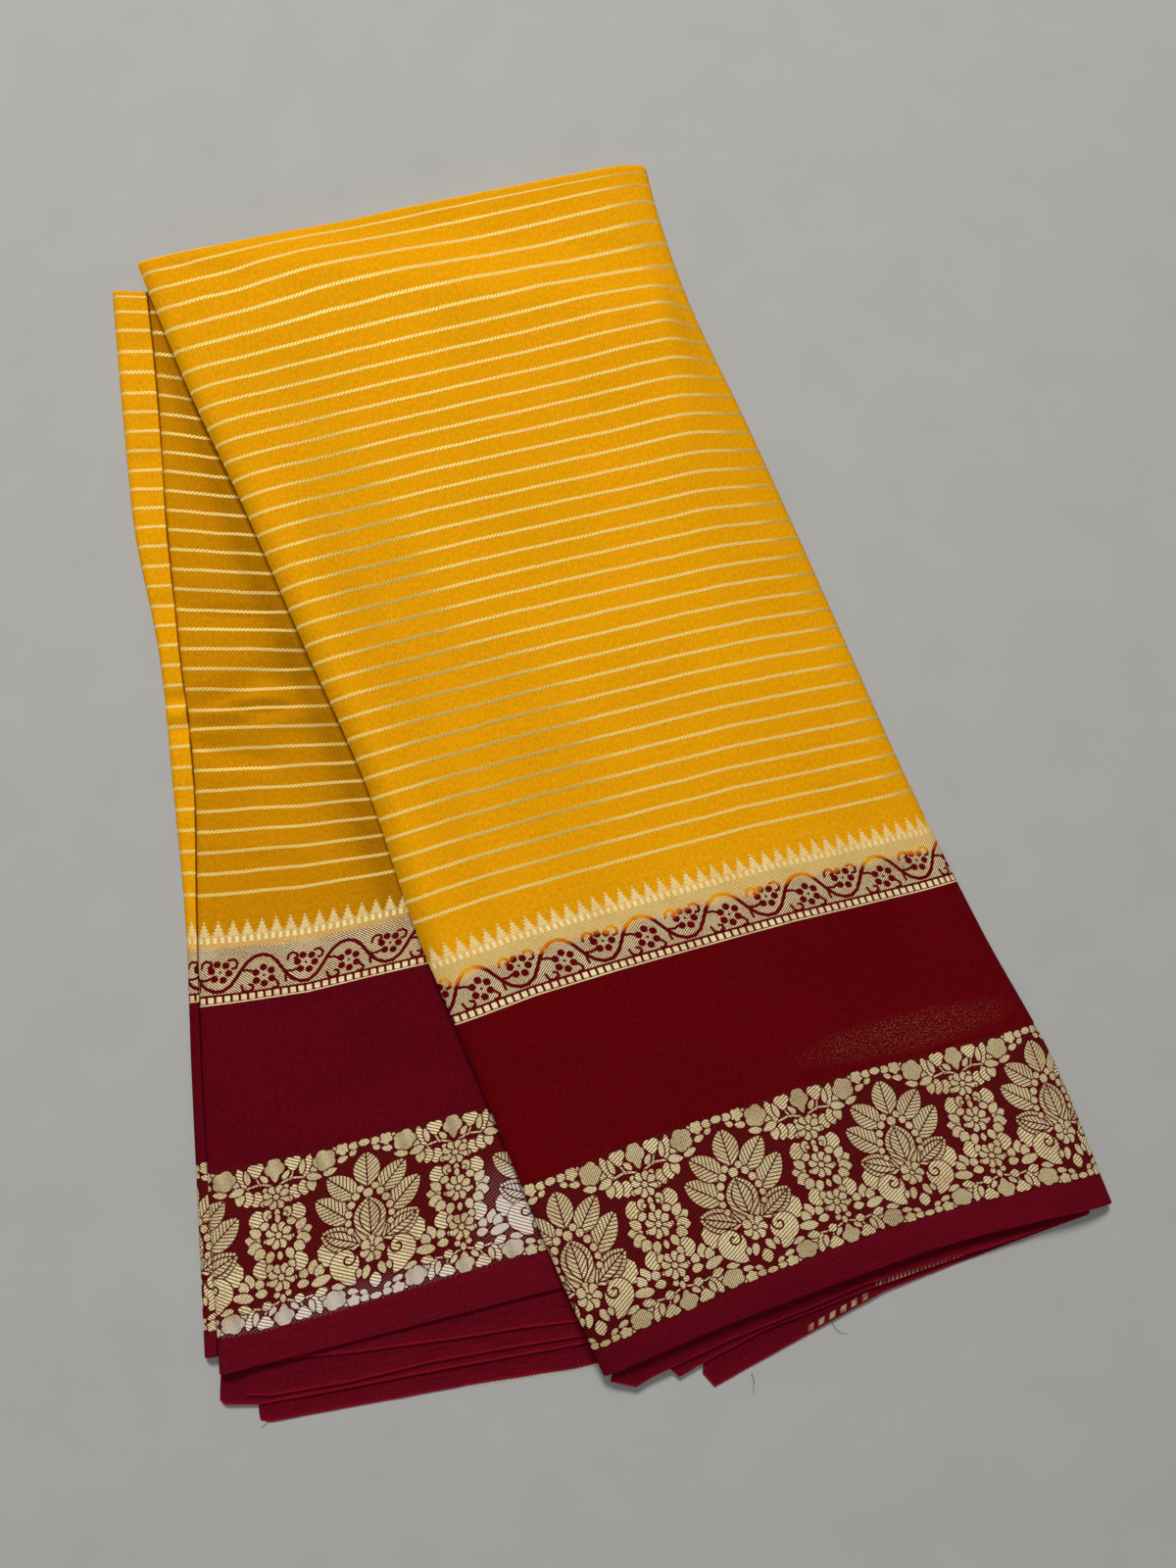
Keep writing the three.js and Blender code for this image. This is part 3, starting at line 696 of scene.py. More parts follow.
# One side of a pillar with its ends, from the pillar's middle
PILLAR_LEAVES = [
    (8.0, 15.0, 9.4, 22.6, 4.8, 2), (12.0, 13.6, 13.2, 21.8, 4.0, 2), (15.6, 14.4, 16.6, 20.6, 3.4, 0),
    (14.0, 12.6, 21.0, 14.6, 3.0, 0), (9.4, 24.4, 7.8, 33.6, 6.4, 2), (4.2, 25.0, 4.8, 30.4, 3.0, 0),
    (4.0, 31.6, 8.4, 33.4, 2.6, 0), (8.2, 38.6, 15.0, 36.8, 3.8, 0), (7.8, 40.6, 14.2, 42.0, 4.2, 0),
    (8.0, 36.4, 12.6, 32.6, 3.2, 0), (6.6, 42.6, 11.2, 45.6, 3.6, 0), (8.6, 46.2, 8.0, 54.8, 6.2, 2),
    (3.6, 43.8, 5.4, 48.8, 3.0, 0), (3.6, 49.6, 6.4, 52.2, 2.6, 0), (13.0, 57.4, 15.2, 51.4, 3.4, 0),
    (15.2, 59.2, 19.0, 54.2, 3.4, 0), (9.0, 58.4, 10.6, 54.4, 3.2, 0), (12.8, 62.2, 22.4, 60.4, 3.4, 0),
    (6.6, 60.6, 12.0, 60.6, 3.0, 0), (14.0, 67.0, 20.0, 65.6, 3.0, 2), (5.0, 65.6, 9.4, 67.4, 3.2, 2),
]
PILLAR_BEADS = [
    (4.6, 15.4, 1.3), (5.8, 21.6, 1.5), (3.4, 28.4, 1.0),
    (5.6, 39.2, 1.3), (5.4, 57.2, 1.5), (2.6, 62.8, 1.4),
]

# The garlands along both edges, from the pillar's middle, rows in from the edge
GARLAND_LEAVES = [
    (13.6, 12.4, 16.2, 1.6, 3.8, 2), (16.4, 12.6, 18.8, 6.6, 2.4, 0), (11.8, 10.8, 13.0, 3.4, 2.2, 0),
    (27.6, 1.4, 26.8, 6.8, 2.4, 0), (28.4, 9.2, 33.4, 7.6, 2.6, 0), (34.0, 7.6, 37.4, 5.4, 2.2, 0),
    (3.4, 11.4, 6.6, 7.4, 2.2, 0), (21.6, 13.8, 28.0, 12.2, 2.8, 0),
]


def lotus_figures(u, v, band, phase, skew, length):
    """The lotus band's figures: a lotus every repeat, flower pillars between, garlands on both edges.

    u runs along the band and v towards the hem; the chart's rows fill the band's length. The figures lean
    by skew. x is the place from a lotus's middle and p from a pillar's.
    """
    repeat, height, middle_row = band.repeat, band.height, band.flower_row
    y = v * height / length
    a = u - phase - skew * (y - middle_row)
    x = (a + repeat / 2) % repeat - repeat / 2
    p = a % repeat - repeat / 2
    gold = Figures(u.shape)

    for rows in (y, (height - y) * 1.12):
        for side in (-1, 1):
            q = p * side
            gold.lay(stem(q, rows, [(2, 13.4), (7, 11.6), (13, 12.6), (18, 11.8), (21, 10)], 0.5), gap=0.4)
            for bx, by, tx, ty, width, style in GARLAND_LEAVES:
                gold.lay(leaf(q, rows, (bx, by), (tx, ty), width * 1.25)[0], style=style)
            blossom = petalled(q, rows, 22.6, 6.6, 5.4, 5, 0.6, 0.2)
            gold.lay(blossom, style=3)
            gold.lay(petalled(q, rows, 31.0, 3.4, 3.2, 5, 0.3, 0.3))
            gold.lay(disc(q * 0.8, rows, 36.2 * 0.8, 3.0, 1.9))
            heart = np.minimum(disc(q, rows, 6.9, 3.4, 2.2), disc(q, rows, 9.9, 3.4, 2.2))
            heart = np.minimum(heart, leaf(q, rows, (8.4, 1.6), (8.4, 8.6), 5.2)[0])
            gold.lay(np.maximum(heart, 1.0 - rows), style=2)
            gold.lay(stem(q, rows, [(8.2, 8.8), (6.6, 12.4)], 0.4), gap=0.35)
        gold.lay(disc(x * 0.7, rows, 0, 2.6, 1.8), gap=0.6)
        bell = petalled(p, rows, 0, 4.8, 4.7, 3, -math.pi / 2, 0.26)
        gold.lay(np.minimum(bell, leaf(p, rows, (0, 3), (0, 12.4), 4.6)[0]), style=3)

    for side in (-1, 1):
        q = p * side
        for bx, by, tx, ty, width, style in PILLAR_LEAVES:
            gold.lay(leaf(q, y, (bx, by), (tx, ty), width * 1.3, 0.5 if style == 2 else 0.42)[0], style=style)
        for bx, by, radius in PILLAR_BEADS:
            gold.lay(disc(q, y, bx, by, radius), gap=0.5)
    for row in (19.6, 37.6, 55.6):
        petal_ring(gold, p, y, 0, row, 1.5, 6.2, 8, 3.5, math.pi / 8)
    for row in (27.0, 29.6, 46.0, 64.4):
        gold.lay(leaf(p, y, (0, row - 1.6), (0, row + 2.4), 2.6, 0.5)[0])

    # The lotus: outer leaves, serrated and outlined side leaves, beads, the almond, scrolls and the flower
    for side in (-1, 1):
        q = x * side
        for bx, by, tx, ty, width, style in LOTUS_LEAVES:
            gold.lay_leaf(q, y, (bx, by), (tx, ty), width, 0.46, style)
        distance, rib, run = leaf(q, y, (6.4, 55.4), (24.8, 48.2), 12.4, 0.6)
        saw = 1.1 * np.abs(((run / 3.2) % 1) * 2 - 1) - 0.5
        gold.lay(distance + saw, style=2, rib=rib, run=run)
        gold.groove(gold.lay_leaf(q, y, (4.6, 50.6), (22.6, 42.0), 10.6, 0.5, 1) + 1.7, 0.3)
    gold.lay_leaf(x, y, (0, 25.4), (0.4, 7.6), 12.2, 0.5, 1)
    for side in (-1, 1):
        q = x * side
        for bx, by, radius in LOTUS_BEADS:
            gold.lay(disc(q, y, bx, by, radius), gap=0.5)
        gold.lay(leaf(q, y, (1.6, 50.4), (7.6, 40.0), 3.4)[0])
    gold.lay(disc(x, y, 0, 28.2, 2.2), gap=0.5)
    gold.groove(gold.lay_leaf(x, y, (0, 49.0), (0, 30.4), 14.6, 0.52, 1) + 2.2, 0.32)
    for side in (-1, 1):
        q = x * side
        body = np.minimum(disc(q, y, 13.0, 57.8, 6.6), leaf(q, y, (15.0, 60.0), (8.6, 67.4), 6.0)[0])
        gold.lay(body, style=2)
        scroll = arc_points(11.2, 55.6, 3.9, 250, -120, 14, 0.22)
        gold.groove(stem(q, y, scroll, 0.0), 0.42)
        for bx, by, tx, ty, width in ((2.6, 60.4, 4.8, 66.4, 3.6), (6.4, 61.0, 7.4, 65.0, 2.6)):
            gold.lay(leaf(q, y, (bx, by), (tx, ty), width)[0])
    gold.lay(leaf(x, y, (0.3, 64.4), (0.3, 71.6), 5.4, 0.5)[0], style=2)
    petal_ring(gold, x, y, 0, 53.8, 1.1, 5.9, 7, 4.4, -math.pi / 2)

    # Straight ends of the band
    gold.edge = np.maximum(gold.edge, np.maximum(0.5 - y, y - height + 0.5))
    return gold.layers()


# One wave of the vine from one crest to the next: places along and rows down from the band's top
VINE_WAVE = 41
VINE_STEM = [
    (0, 5.2), (3.4, 6.4), (6.2, 9.2), (8.4, 12.8), (10.6, 16.4), (13.6, 19.8), (17.4, 21.8), (21.4, 21.8),
    (25.2, 19.4), (28.4, 15.2), (31, 11.2), (33.8, 8), (37.2, 5.8), (41, 5.2),
]
VINE_CURLS = [
    [(10.6, 15.6), (10.3, 18.4), (10.5, 20.6)],
    [(11, 15.4), (13.6, 15.8), (16, 15.0)],
    [(11.6, 9.6), (12.2, 7.4), (14.0, 6.2), (16.2, 7.0), (16.4, 8.8), (15.0, 9.4)],
    [(24.6, 6.6), (27.2, 6.2), (28.8, 8.2), (28.0, 10.6), (26.2, 10.8)],
    [(30.2, 20.0), (31.0, 22.8), (33.4, 23.6), (35.8, 22.2), (35.6, 20.4), (34.0, 20.0)],
    [(5.4, 19.4), (7.0, 21.4), (6.2, 23.2), (4.2, 23.2)],
    [(31.6, 12.4), (34.0, 12.6), (36.2, 13.8)],
]


def vine_figures(u, v, band, phase, wave, length):
    """The vine band: a gold ground with a waving stem of the ground silk, flowers and curls along it.

    u runs along the band and v from its top towards the hem; the chart's rows fill the band's length.
    """
    y = v * band.height / length
    x = (u - phase) * VINE_WAVE / wave % VINE_WAVE
    gold = Figures(u.shape, gold=True)
    for place in (x + VINE_WAVE, x, x - VINE_WAVE):
        gold.cut(stem(place, y, VINE_STEM, 0.9))
        for points in VINE_CURLS:
            gold.cut(stem(place, y, points, 0.66))
        for cx, cy, turn in ((0, 16.2, 0.5), (20.4, 12.2, 0.2)):
            for k in range(6):
                angle = turn + k * math.pi / 3
                gold.cut(disc(place, y, cx + 4.2 * math.cos(angle), cy + 4.2 * math.sin(angle), 1.8))
            gold.cut(disc(place, y, cx, cy, 0.7))
    # Row of squares between two thin lines, over a closing line
    across = np.abs((u / band.squares) % 1 - 0.5) * band.squares
    square = np.maximum(across - 1.3, np.abs(y - band.height + 2.7) - 1.45)
    row = band.height - y
    gold.edge = np.where(row < 4.9, np.minimum(square, np.abs(row - 0.45) - 0.35), gold.edge)
    gold.groove(row - 4.9, 0.4)
    return gold.layers()


# Finishes


class Number:
    """A number that changes over a surface; arithmetic on it adds Math nodes."""

    def __init__(self, finish, socket):
        self.finish = finish
        self.socket = socket

    def __add__(self, other):
        return self.finish.maths("ADD", self, other)

    def __sub__(self, other):
        return self.finish.maths("SUBTRACT", self, other)

    def __rsub__(self, other):
        return self.finish.maths("SUBTRACT", other, self)

    def __mul__(self, other):
        return self.finish.maths("MULTIPLY", self, other)

    def __truediv__(self, other):
        return self.finish.maths("DIVIDE", self, other)

    def __abs__(self):
        return self.finish.maths("ABSOLUTE", self)

    __radd__ = __add__
    __rmul__ = __mul__


class Finish:
    """A material in the making: its nodes, and the surface that they feed."""

    def __init__(self, name):
        self.material = bpy.data.materials.new(name)
        self.material.use_nodes = True
        self.tree = self.material.node_tree
        self.tree.nodes.clear()
        place = self.node("ShaderNodeTexCoord")
        self.cloth = place.outputs["UV"]
        self.place = place.outputs["Object"]
        parts = self.node("ShaderNodeSeparateXYZ", inputs={"Vector": self.cloth})
        self.u = Number(self, parts.outputs["X"])
        self.v = Number(self, parts.outputs["Y"])

    def node(self, kind, settings=None, inputs=None):
        """A node of a type, with its settings and then its sockets' values or links."""
        made = self.tree.nodes.new(kind)
        for key, value in (settings or {}).items():
            if key == "stops":
                ramp = made.color_ramp
                while len(ramp.elements) < len(value):
                    ramp.elements.new(1)
                for element, (position, colour) in zip(ramp.elements, value):
                    element.position, element.color = position, colour
            else:
                setattr(made, key, value)
        for key, value in (inputs or {}).items():
            value = value.socket if isinstance(value, Number) else value
            if isinstance(value, bpy.types.NodeSocket):
                self.tree.links.new(value, made.inputs[key])
            else:
                made.inputs[key].default_value = value
        return made

    def maths(self, operation, *values):
        """A Math node on numbers or sockets."""
        made = self.node("ShaderNodeMath", {"operation": operation}, dict(enumerate(values)))
        return Number(self, made.outputs[0])

    def saw(self, value):
        """How far a number is from the last whole one."""
        return self.maths("FRACT", value)

    def larger(self, first, *others):
        """The greatest of some numbers."""
        for other in others:
            first = self.maths("MAXIMUM", first, other)
        return first

    def off_middle(self, value, pitch):
        """Share of a pitch from the value to the middle of the pitch that it is in."""
        return abs(self.saw(value / pitch) - 0.5)

    def bands(self, value, pitch, half, soft):
        """1 in the middle of each pitch of a value and 0 between, half and soft being shares of the pitch."""
        return self.within(self.off_middle(value, pitch), half, soft)

    def within(self, value, edge, soft):
        """1 where the value is below the edge and 0 above, over a soft width."""
        made = self.node("ShaderNodeMapRange", {"interpolation_type": "SMOOTHSTEP"}, {
            "Value": value, "From Min": edge - soft, "From Max": edge + soft, "To Min": 1.0, "To Max": 0.0})
        return Number(self, made.outputs["Result"])

    def attribute(self, name):
        """A number kept on the piece's points."""
        return Number(self, self.node("ShaderNodeAttribute", {"attribute_name": name}).outputs["Fac"])

    def grain(self, scale, detail=2.0, stretch=(1, 1, 1), roughness=0.5):
        """Noise on the cloth's own millimetres, from 0 to 1; stretch gives longer cells."""
        turned = self.node("ShaderNodeMapping", {}, {"Vector": self.cloth, "Scale": stretch})
        made = self.node("ShaderNodeTexNoise", {}, {
            "Vector": turned.outputs[0], "Scale": scale, "Detail": detail, "Roughness": roughness})
        return Number(self, made.outputs["Fac"])

    def ellipses(self, places):
        """1 in soft ellipses on the cloth and 0 outside: place across, place along and half sizes."""
        total = None
        for u0, v0, half_u, half_v in places:
            across, along = (self.u - u0) / half_u, (self.v - v0) / half_v
            part = self.within(across * across + along * along, 0.6, 0.55)
            total = part if total is None else self.larger(total, part)
        return total

    def blend(self, share, first, second, kind="MIX"):
        """The first colour at share 0, the second at 1."""
        made = self.node("ShaderNodeMix", {"data_type": "RGBA", "blend_type": kind}, {
            0: share, 6: first, 7: second})
        return made.outputs[2]

    def shaded(self, colour, value):
        """The colour times a grey value."""
        grey = self.node("ShaderNodeCombineColor", {}, {"Red": value, "Green": value, "Blue": value})
        return self.blend(1.0, colour, grey.outputs[0], "MULTIPLY")

    def surface(self, colour, settings, height, depth):
        """The closing shader: a colour, the other sockets' values, and a height that bumps it this deep."""
        bump = self.node("ShaderNodeBump", {}, {"Strength": 1.0, "Distance": depth, "Height": height})
        sockets = {"Base Color": colour, **settings, "Normal": bump.outputs["Normal"]}
        made = self.node("ShaderNodeBsdfPrincipled", {}, sockets)
        self.node("ShaderNodeOutputMaterial", {}, {"Surface": made.outputs[0]})
        return self.material


def rgba(colour):
    """A colour property with full alpha."""
    return (*colour, 1.0)


CLOTH_SPECULAR = {"Specular IOR Level": 0.015}
GOLD_METALLIC = 0.12
GOLD_ROUGHNESS = 0.45
WOVEN_DEPTH = 0.00038  # of the bump, in metres
THREAD_SOFT = 0.14  # half the soft rim of a figure, in millimetres


def crepe(finish, strength=1.0):
    """The crepe's grain: sizes of noise, as a height and as a brightness near 1."""
    fine = finish.grain(1.7, 2.0)
    mid = finish.grain(0.62, 2.0, (1, 0.75, 1), 0.6)
    broad = finish.grain(0.02, 1.0)
    height = fine * 0.45 + mid * 0.55
    bright = 1.0 + (fine - 0.5) * (0.4 * strength) + (mid - 0.5) * (0.62 * strength) + (broad - 0.5) * 0.16
    return height, bright


def gold_threads(finish, colours, mask, ground, ground_rough, height, thread=None):
    """Gold laid over a ground where the mask is 1: its colour, with painted glints and painted shade at random
    places, the other sockets and the bump's height.
    """
    glint = finish.grain(1.1, 2.0, (1, 1, 1), 0.6)
    patch = finish.grain(0.07, 1.0)
    # Painted glints and painted shade: noise moves the gold's colour between dark gold and bright gold.
    light = finish.maths("MULTIPLY_ADD", glint * 0.7 + patch * 0.3 - 0.5, 3.4, 0.8)
    light = finish.maths("MINIMUM", finish.larger(light, 0.0), 1.0)
    gold = finish.blend(light, rgba(colours.gold_dark), rgba(colours.gold))
    threads = mask if thread is None else mask * thread
    sockets = {
        "Metallic": threads * GOLD_METALLIC,
        "Roughness": threads * GOLD_ROUGHNESS + ground_rough * (1.0 - threads),
        **CLOTH_SPECULAR,
    }
    return finish.blend(threads, ground, gold), sockets, height * (1.0 - mask * 0.5) + threads * 0.8


def painted_shade_beside_upper(finish):
    """Painted shade on the lower cloth beside the upper stack's edge, which runs aslant over it: a brightness
    below 1 near that edge.
    """
    away = 12.0 + (finish.v - 60.0) * 0.285 - finish.u
    return 1.0 - (finish.within(away, 5.0, 5.0) * 0.2 + finish.within(away, 14.0, 9.0) * 0.14)


def temple_row(finish, pattern, over):
    """Spires with toothed sides, some a little taller, over a row of upright blocks in a haze of twill."""
    twill = finish.bands(finish.u * pattern.twill_lean + finish.v, 1.25, 0.3, 0.16)
    uneven = finish.grain(0.11, 1.0, (1, 0.01, 1)) * 2.4 - 1.2
    rise = over - pattern.temple_base + uneven * 0.6
    teeth = finish.off_middle(rise, 1.7) * 2.0 - 0.6
    half = (1.0 - rise / pattern.temple_height) * 2.9 + teeth
    away = finish.off_middle(finish.u, pattern.temple_pitch) * pattern.temple_pitch - half
    spire = finish.within(away, 0.0, 0.2) * finish.within(0.0 - rise, 0.0, 0.15)
    bars = finish.bands(finish.u, pattern.temple_pitch / 2, 0.27, 0.07)
    block = bars * finish.within(abs(over - (pattern.temple_base - 1.7)), 1.5, 0.15)
    haze = finish.within(abs(over - (pattern.temple_base - 2.4)), 3.2, 0.7) * (0.02 + twill * 0.42)
    return finish.larger(spire * (0.22 + twill * 0.78), block * 0.95, haze)


def stripe_lines(finish, pattern, over):
    """1 in the field's stripes and 0 between, by the distance over the vine band's lower line."""
    away = finish.off_middle(over - pattern.stripe_offset, pattern.stripe_pitch) * pattern.stripe_pitch
    return finish.within(away, pattern.stripe_width / 2, 0.15)


def field_finish(name, colours, pattern, stack, dye, painted_stripe_shade=(), shade=(), painted_edge_shade=False):
    """Yellow crepe with thin gold stripes of slanted dashes, and the temple row over the vine band.

    The stripes are painted olive in the stripe zones, a painted shade where their gold faces away from the
    light. The cloth is painted darker in the shade zones, a painted shade, each list of them given with its
    depth, and, on a stack that lies under the upper one, in a painted shade beside the upper stack's edge.
    """
    finish = Finish(name)
    height, bright = crepe(finish)
    # Painted shade: on a stack under the upper one, the cloth is painted darker beside the upper stack's edge.
    if painted_edge_shade:
        bright = bright * painted_shade_beside_upper(finish)
    # Painted shade: each list of shade zones paints the cloth darker by its depth, over rounded edges, valleys
    # and fold troughs.
    for zones, depth in shade:
        bright = bright * (1.0 - finish.ellipses(zones) * depth)
    silk = finish.shaded(rgba(dye), bright)
    over = VINE_BAND_END * stack.length - finish.v
    wobble = (finish.grain(0.05, 1.0) - 0.5) * 0.9
    line = stripe_lines(finish, pattern, over + wobble) \
        * finish.within(pattern.stripe_offset - 4.0 - over, 0.0, 0.4)
    dash = finish.bands(finish.u + finish.v * 1.35, pattern.dash_pitch, 0.31, 0.1)
    stripe = line * (0.14 + dash * 0.86) * (0.75 + finish.grain(0.03, 1.0) * 0.5)
    temple = temple_row(finish, pattern, over)
    mask = finish.larger(stripe, temple)
    colour, sockets, relief = gold_threads(finish, colours, mask, silk, 0.74, height)
    colour = finish.blend(stripe, colour, rgba(colours.stripe))
    colour = finish.blend(temple * 0.55, colour, rgba(colours.spire))
    # Painted shade on the stripes: olive in the listed zones, where their gold faces away from the light.
    if painted_stripe_shade:
        colour = finish.blend(finish.ellipses(painted_stripe_shade) * line * 0.5, colour, rgba(colours.painted_shade_olive))
    return finish.surface(colour, sockets, relief, WOVEN_DEPTH)


def vine_finish(name, colours, stack, dye_line, dye_soft, lean):
    """Gold twill with a vine in the ground silk, whose dye runs from yellow over orange to maroon."""
    finish = Finish(name)
    height, bright = crepe(finish)
    over = VINE_BAND_END * stack.length - finish.v
    creep = (finish.grain(0.07, 1.0, (1, 0.3, 1)) - 0.5) * dye_soft * 2.2
    dye = finish.node("ShaderNodeMapRange", {}, {
        "Value": over + creep, "From Min": dye_line - dye_soft * 0.5, "From Max": dye_line + dye_soft * 0.5})
    stops = [(0.0, colours.border), (0.3, colours.border), (0.6, colours.bleed), (1.0, colours.field)]
    stops = [(position, rgba(colour)) for position, colour in stops]
    ramp = finish.node("ShaderNodeValToRGB", {"stops": stops}, {"Fac": dye.outputs["Result"]})
    silk = finish.shaded(ramp.outputs["Color"], bright)
    gold_here = finish.within(finish.attribute("edge"), 0.0, THREAD_SOFT)
    twill = finish.bands(finish.u * lean + finish.v, 1.2, 0.3, 0.14)
    squares_row = finish.within(over, 4.6, 0.2)
    thread = finish.larger(0.06 + twill * 0.9, squares_row * 0.95)
    colour, sockets, relief = gold_threads(finish, colours, gold_here, silk, 0.76, height, thread)
    glow = finish.within(dye_line + 1.0 - over, 0.0, dye_soft * 0.6) * gold_here * 0.5
    colour = finish.blend(glow, colour, finish.shaded(rgba(colours.stripe), 0.55 + twill * 0.4))
    return finish.surface(colour, sockets, relief, WOVEN_DEPTH)


def maroon_finish(name, colours, specks, dye):
    """Plain maroon crepe, with faint gold specks where threads of the next band show through."""
    finish = Finish(name)
    height, bright = crepe(finish, 1.7)
    silk = finish.shaded(rgba(dye), bright)
    if not specks:
        return finish.surface(silk, {**CLOTH_SPECULAR, "Roughness": 0.76}, height, 0.0003)
    dots = finish.within(0.0 - finish.grain(1.3, 2.0), -0.61, 0.05) * finish.ellipses([specks]) * 0.14
    return finish.surface(*gold_threads(finish, colours, dots, silk, 0.76, height), WOVEN_DEPTH)


def lotus_finish(name, colours, lean=-0.8, pale=()):
    """Maroon ground dotted with fine gold twill, under gold figures whose threads have four styles.

    Style 0 is satin, 1 has veins beside a middle line, 2 slanted hatching and 3 a fine mesh.
    """
    finish = Finish(name)
    height, bright = crepe(finish)
    silk = finish.shaded(rgba(colours.border_band), bright)
    edge, rib, run, style = (finish.attribute(key) for key in ("edge", "rib", "run", "style"))
    figure = finish.within(edge, 0.0, THREAD_SOFT)
    twill = finish.bands(finish.u * lean + finish.v, 1.25, 0.36, 0.12)
    hatch = finish.bands(finish.v - finish.u * lean * 0.6, 1.5, 0.31, 0.1)
    mesh = finish.bands(finish.u + finish.v, 1.3, 0.32, 0.14) * (0.3 + twill * 0.7)
    chevron = finish.bands(run - abs(rib) * 0.85, 2.1, 0.37, 0.07)
    veined = finish.within(0.0 - abs(rib), -0.32, 0.1) * chevron * (0.4 + twill * 0.6)
    thread = 0.16 + twill * 0.84
    for number, look in ((1.0, veined), (2.0, 0.25 + hatch * 0.75), (3.0, 0.22 + mesh * 0.78)):
        thread = mix(thread, look, finish.within(abs(style - number), 0.5, 0.02))
    dots = finish.bands(finish.u * 0.8 + finish.v * 1.3, 1.9, 0.2, 0.1)
    dashes = finish.bands(finish.u - finish.v * 0.4, 1.0, 0.3, 0.12)
    ground_dots = dots * dashes * (1.0 - figure) * finish.within(0.0 - edge, -0.6, 0.15) * 0.14
    mask = finish.larger(figure, ground_dots)
    thread = finish.larger(thread * figure, ground_dots * 1.6)
    colour, sockets, relief = gold_threads(finish, colours, mask, silk, 0.78, height, thread)
    # Painted highlight: in the pale zones the gold threads are painted white, where they shine.
    if pale:
        colour = finish.blend(finish.ellipses(pale) * thread * 0.75, colour, rgba(colours.painted_white_glint))
    return finish.surface(colour, sockets, relief, WOVEN_DEPTH)


def margin_finish(name, colours, weft_ends=None, painted_edge_light_shade=True):
    """Thin maroon silk of the hem with fine threads along it, a painted highlight along its edge and painted
    shadow further in when asked; its reverse may show gold weft ends.
    """
    finish = Finish(name)
    height, bright = crepe(finish, 1.4)
    threads = finish.grain(0.8, 1.0, (0.06, 1.6, 1))
    bright = bright + (threads - 0.5) * 0.7
    # Painted highlight along the layer's folded edge, and painted shadow further in, where the layer above
    # shades it.
    if painted_edge_light_shade:
        bright = bright + finish.within(0.0 - finish.v, 1.0, 0.7) * 0.6
        bright = bright - finish.within(9.0 + finish.v, 4.0, 4.0) * 0.12
    silk = finish.shaded(rgba(colours.margin), bright)
    height = height + threads * 0.5
    if weft_ends is None:
        return finish.surface(silk, {**CLOTH_SPECULAR, "Roughness": 0.7}, height, 0.00018)
    start, end, pitch, inner, outer = weft_ends
    inside = finish.within(start - finish.u, 0.0, 2.0) * finish.within(finish.u - end, 0.0, 2.0)
    row = finish.within(finish.v - outer, 0.0, 0.2) * finish.within(inner - finish.v, 0.0, 0.2)
    tick = finish.bands(finish.u, pitch, 0.25, 0.07)
    patchy = finish.within(0.0 - finish.grain(0.2, 1.0), -0.4, 0.08)
    mask = inside * row * tick * (0.12 + patchy * 0.3)
    return finish.surface(*gold_threads(finish, colours, mask, silk, 0.72, height), 0.00018)


def layers_finish(name, colours, pattern, stack):
    """The folded edges of the hidden layers: the cloth's own stretches by place along it, with thin lines."""
    finish = Finish(name)
    height, bright = crepe(finish)
    length = stack.length
    over = VINE_BAND_END * length - finish.v
    red = finish.within(finish.v * -1.0, -(VINE_BAND_END - 0.018) * length, 0.8)
    silk = finish.shaded(finish.blend(red, rgba(colours.field), rgba(colours.border)), bright)
    stripe = stripe_lines(finish, pattern, over) * (1.0 - red)
    vine = finish.within(abs(over - 13.5), 13.0, 0.3) * finish.bands(finish.u + finish.v, 1.3, 0.35, 0.1)
    middle = (PLAIN_BORDER_END + LOTUS_BAND_END) / 2 * length
    lotus = finish.within(abs(finish.v - middle), (LOTUS_BAND_END - PLAIN_BORDER_END) / 2 * length, 0.3)
    lotus = lotus * finish.within(finish.grain(0.3, 1.0), 0.5, 0.05)
    mask = finish.larger(stripe, vine, lotus) * 0.8
    return finish.surface(*gold_threads(finish, colours, mask, silk, 0.76, height), 0.0002)


def mottled_finish(name, colour, scale, detail, dark, light, settings, depth):
    """A plain colour made a little uneven by noise: dark is its least share, light what noise adds."""
    finish = Finish(name)
    noise = finish.node("ShaderNodeTexNoise", {}, {"Vector": finish.place, "Scale": scale, "Detail": detail})
    mottle = Number(finish, noise.outputs["Fac"])
    return finish.surface(finish.shaded(rgba(colour), dark + mottle * light), settings, mottle, depth)


def thread_finish(name, colour, metallic):
    """A twisted thread, light and dark along it."""
    settings = {"Roughness": 0.5, "Metallic": metallic}
    return mottled_finish(name, colour, 1800.0, 1.0, 0.6, 0.8, settings, 0.0001)


# Sizes and colours


def amount(name, description, default, low, high, **more):
    """A number that a user may change between two limits."""
    return bpy.props.FloatProperty(
        name=name, description=description, default=default, min=low, max=high, **more)


def hue(name, description, default):
    """A linear colour that a user may change."""
    return bpy.props.FloatVectorProperty(
        name=name, description=description, subtype="COLOR", size=3, default=default, min=0, max=1)


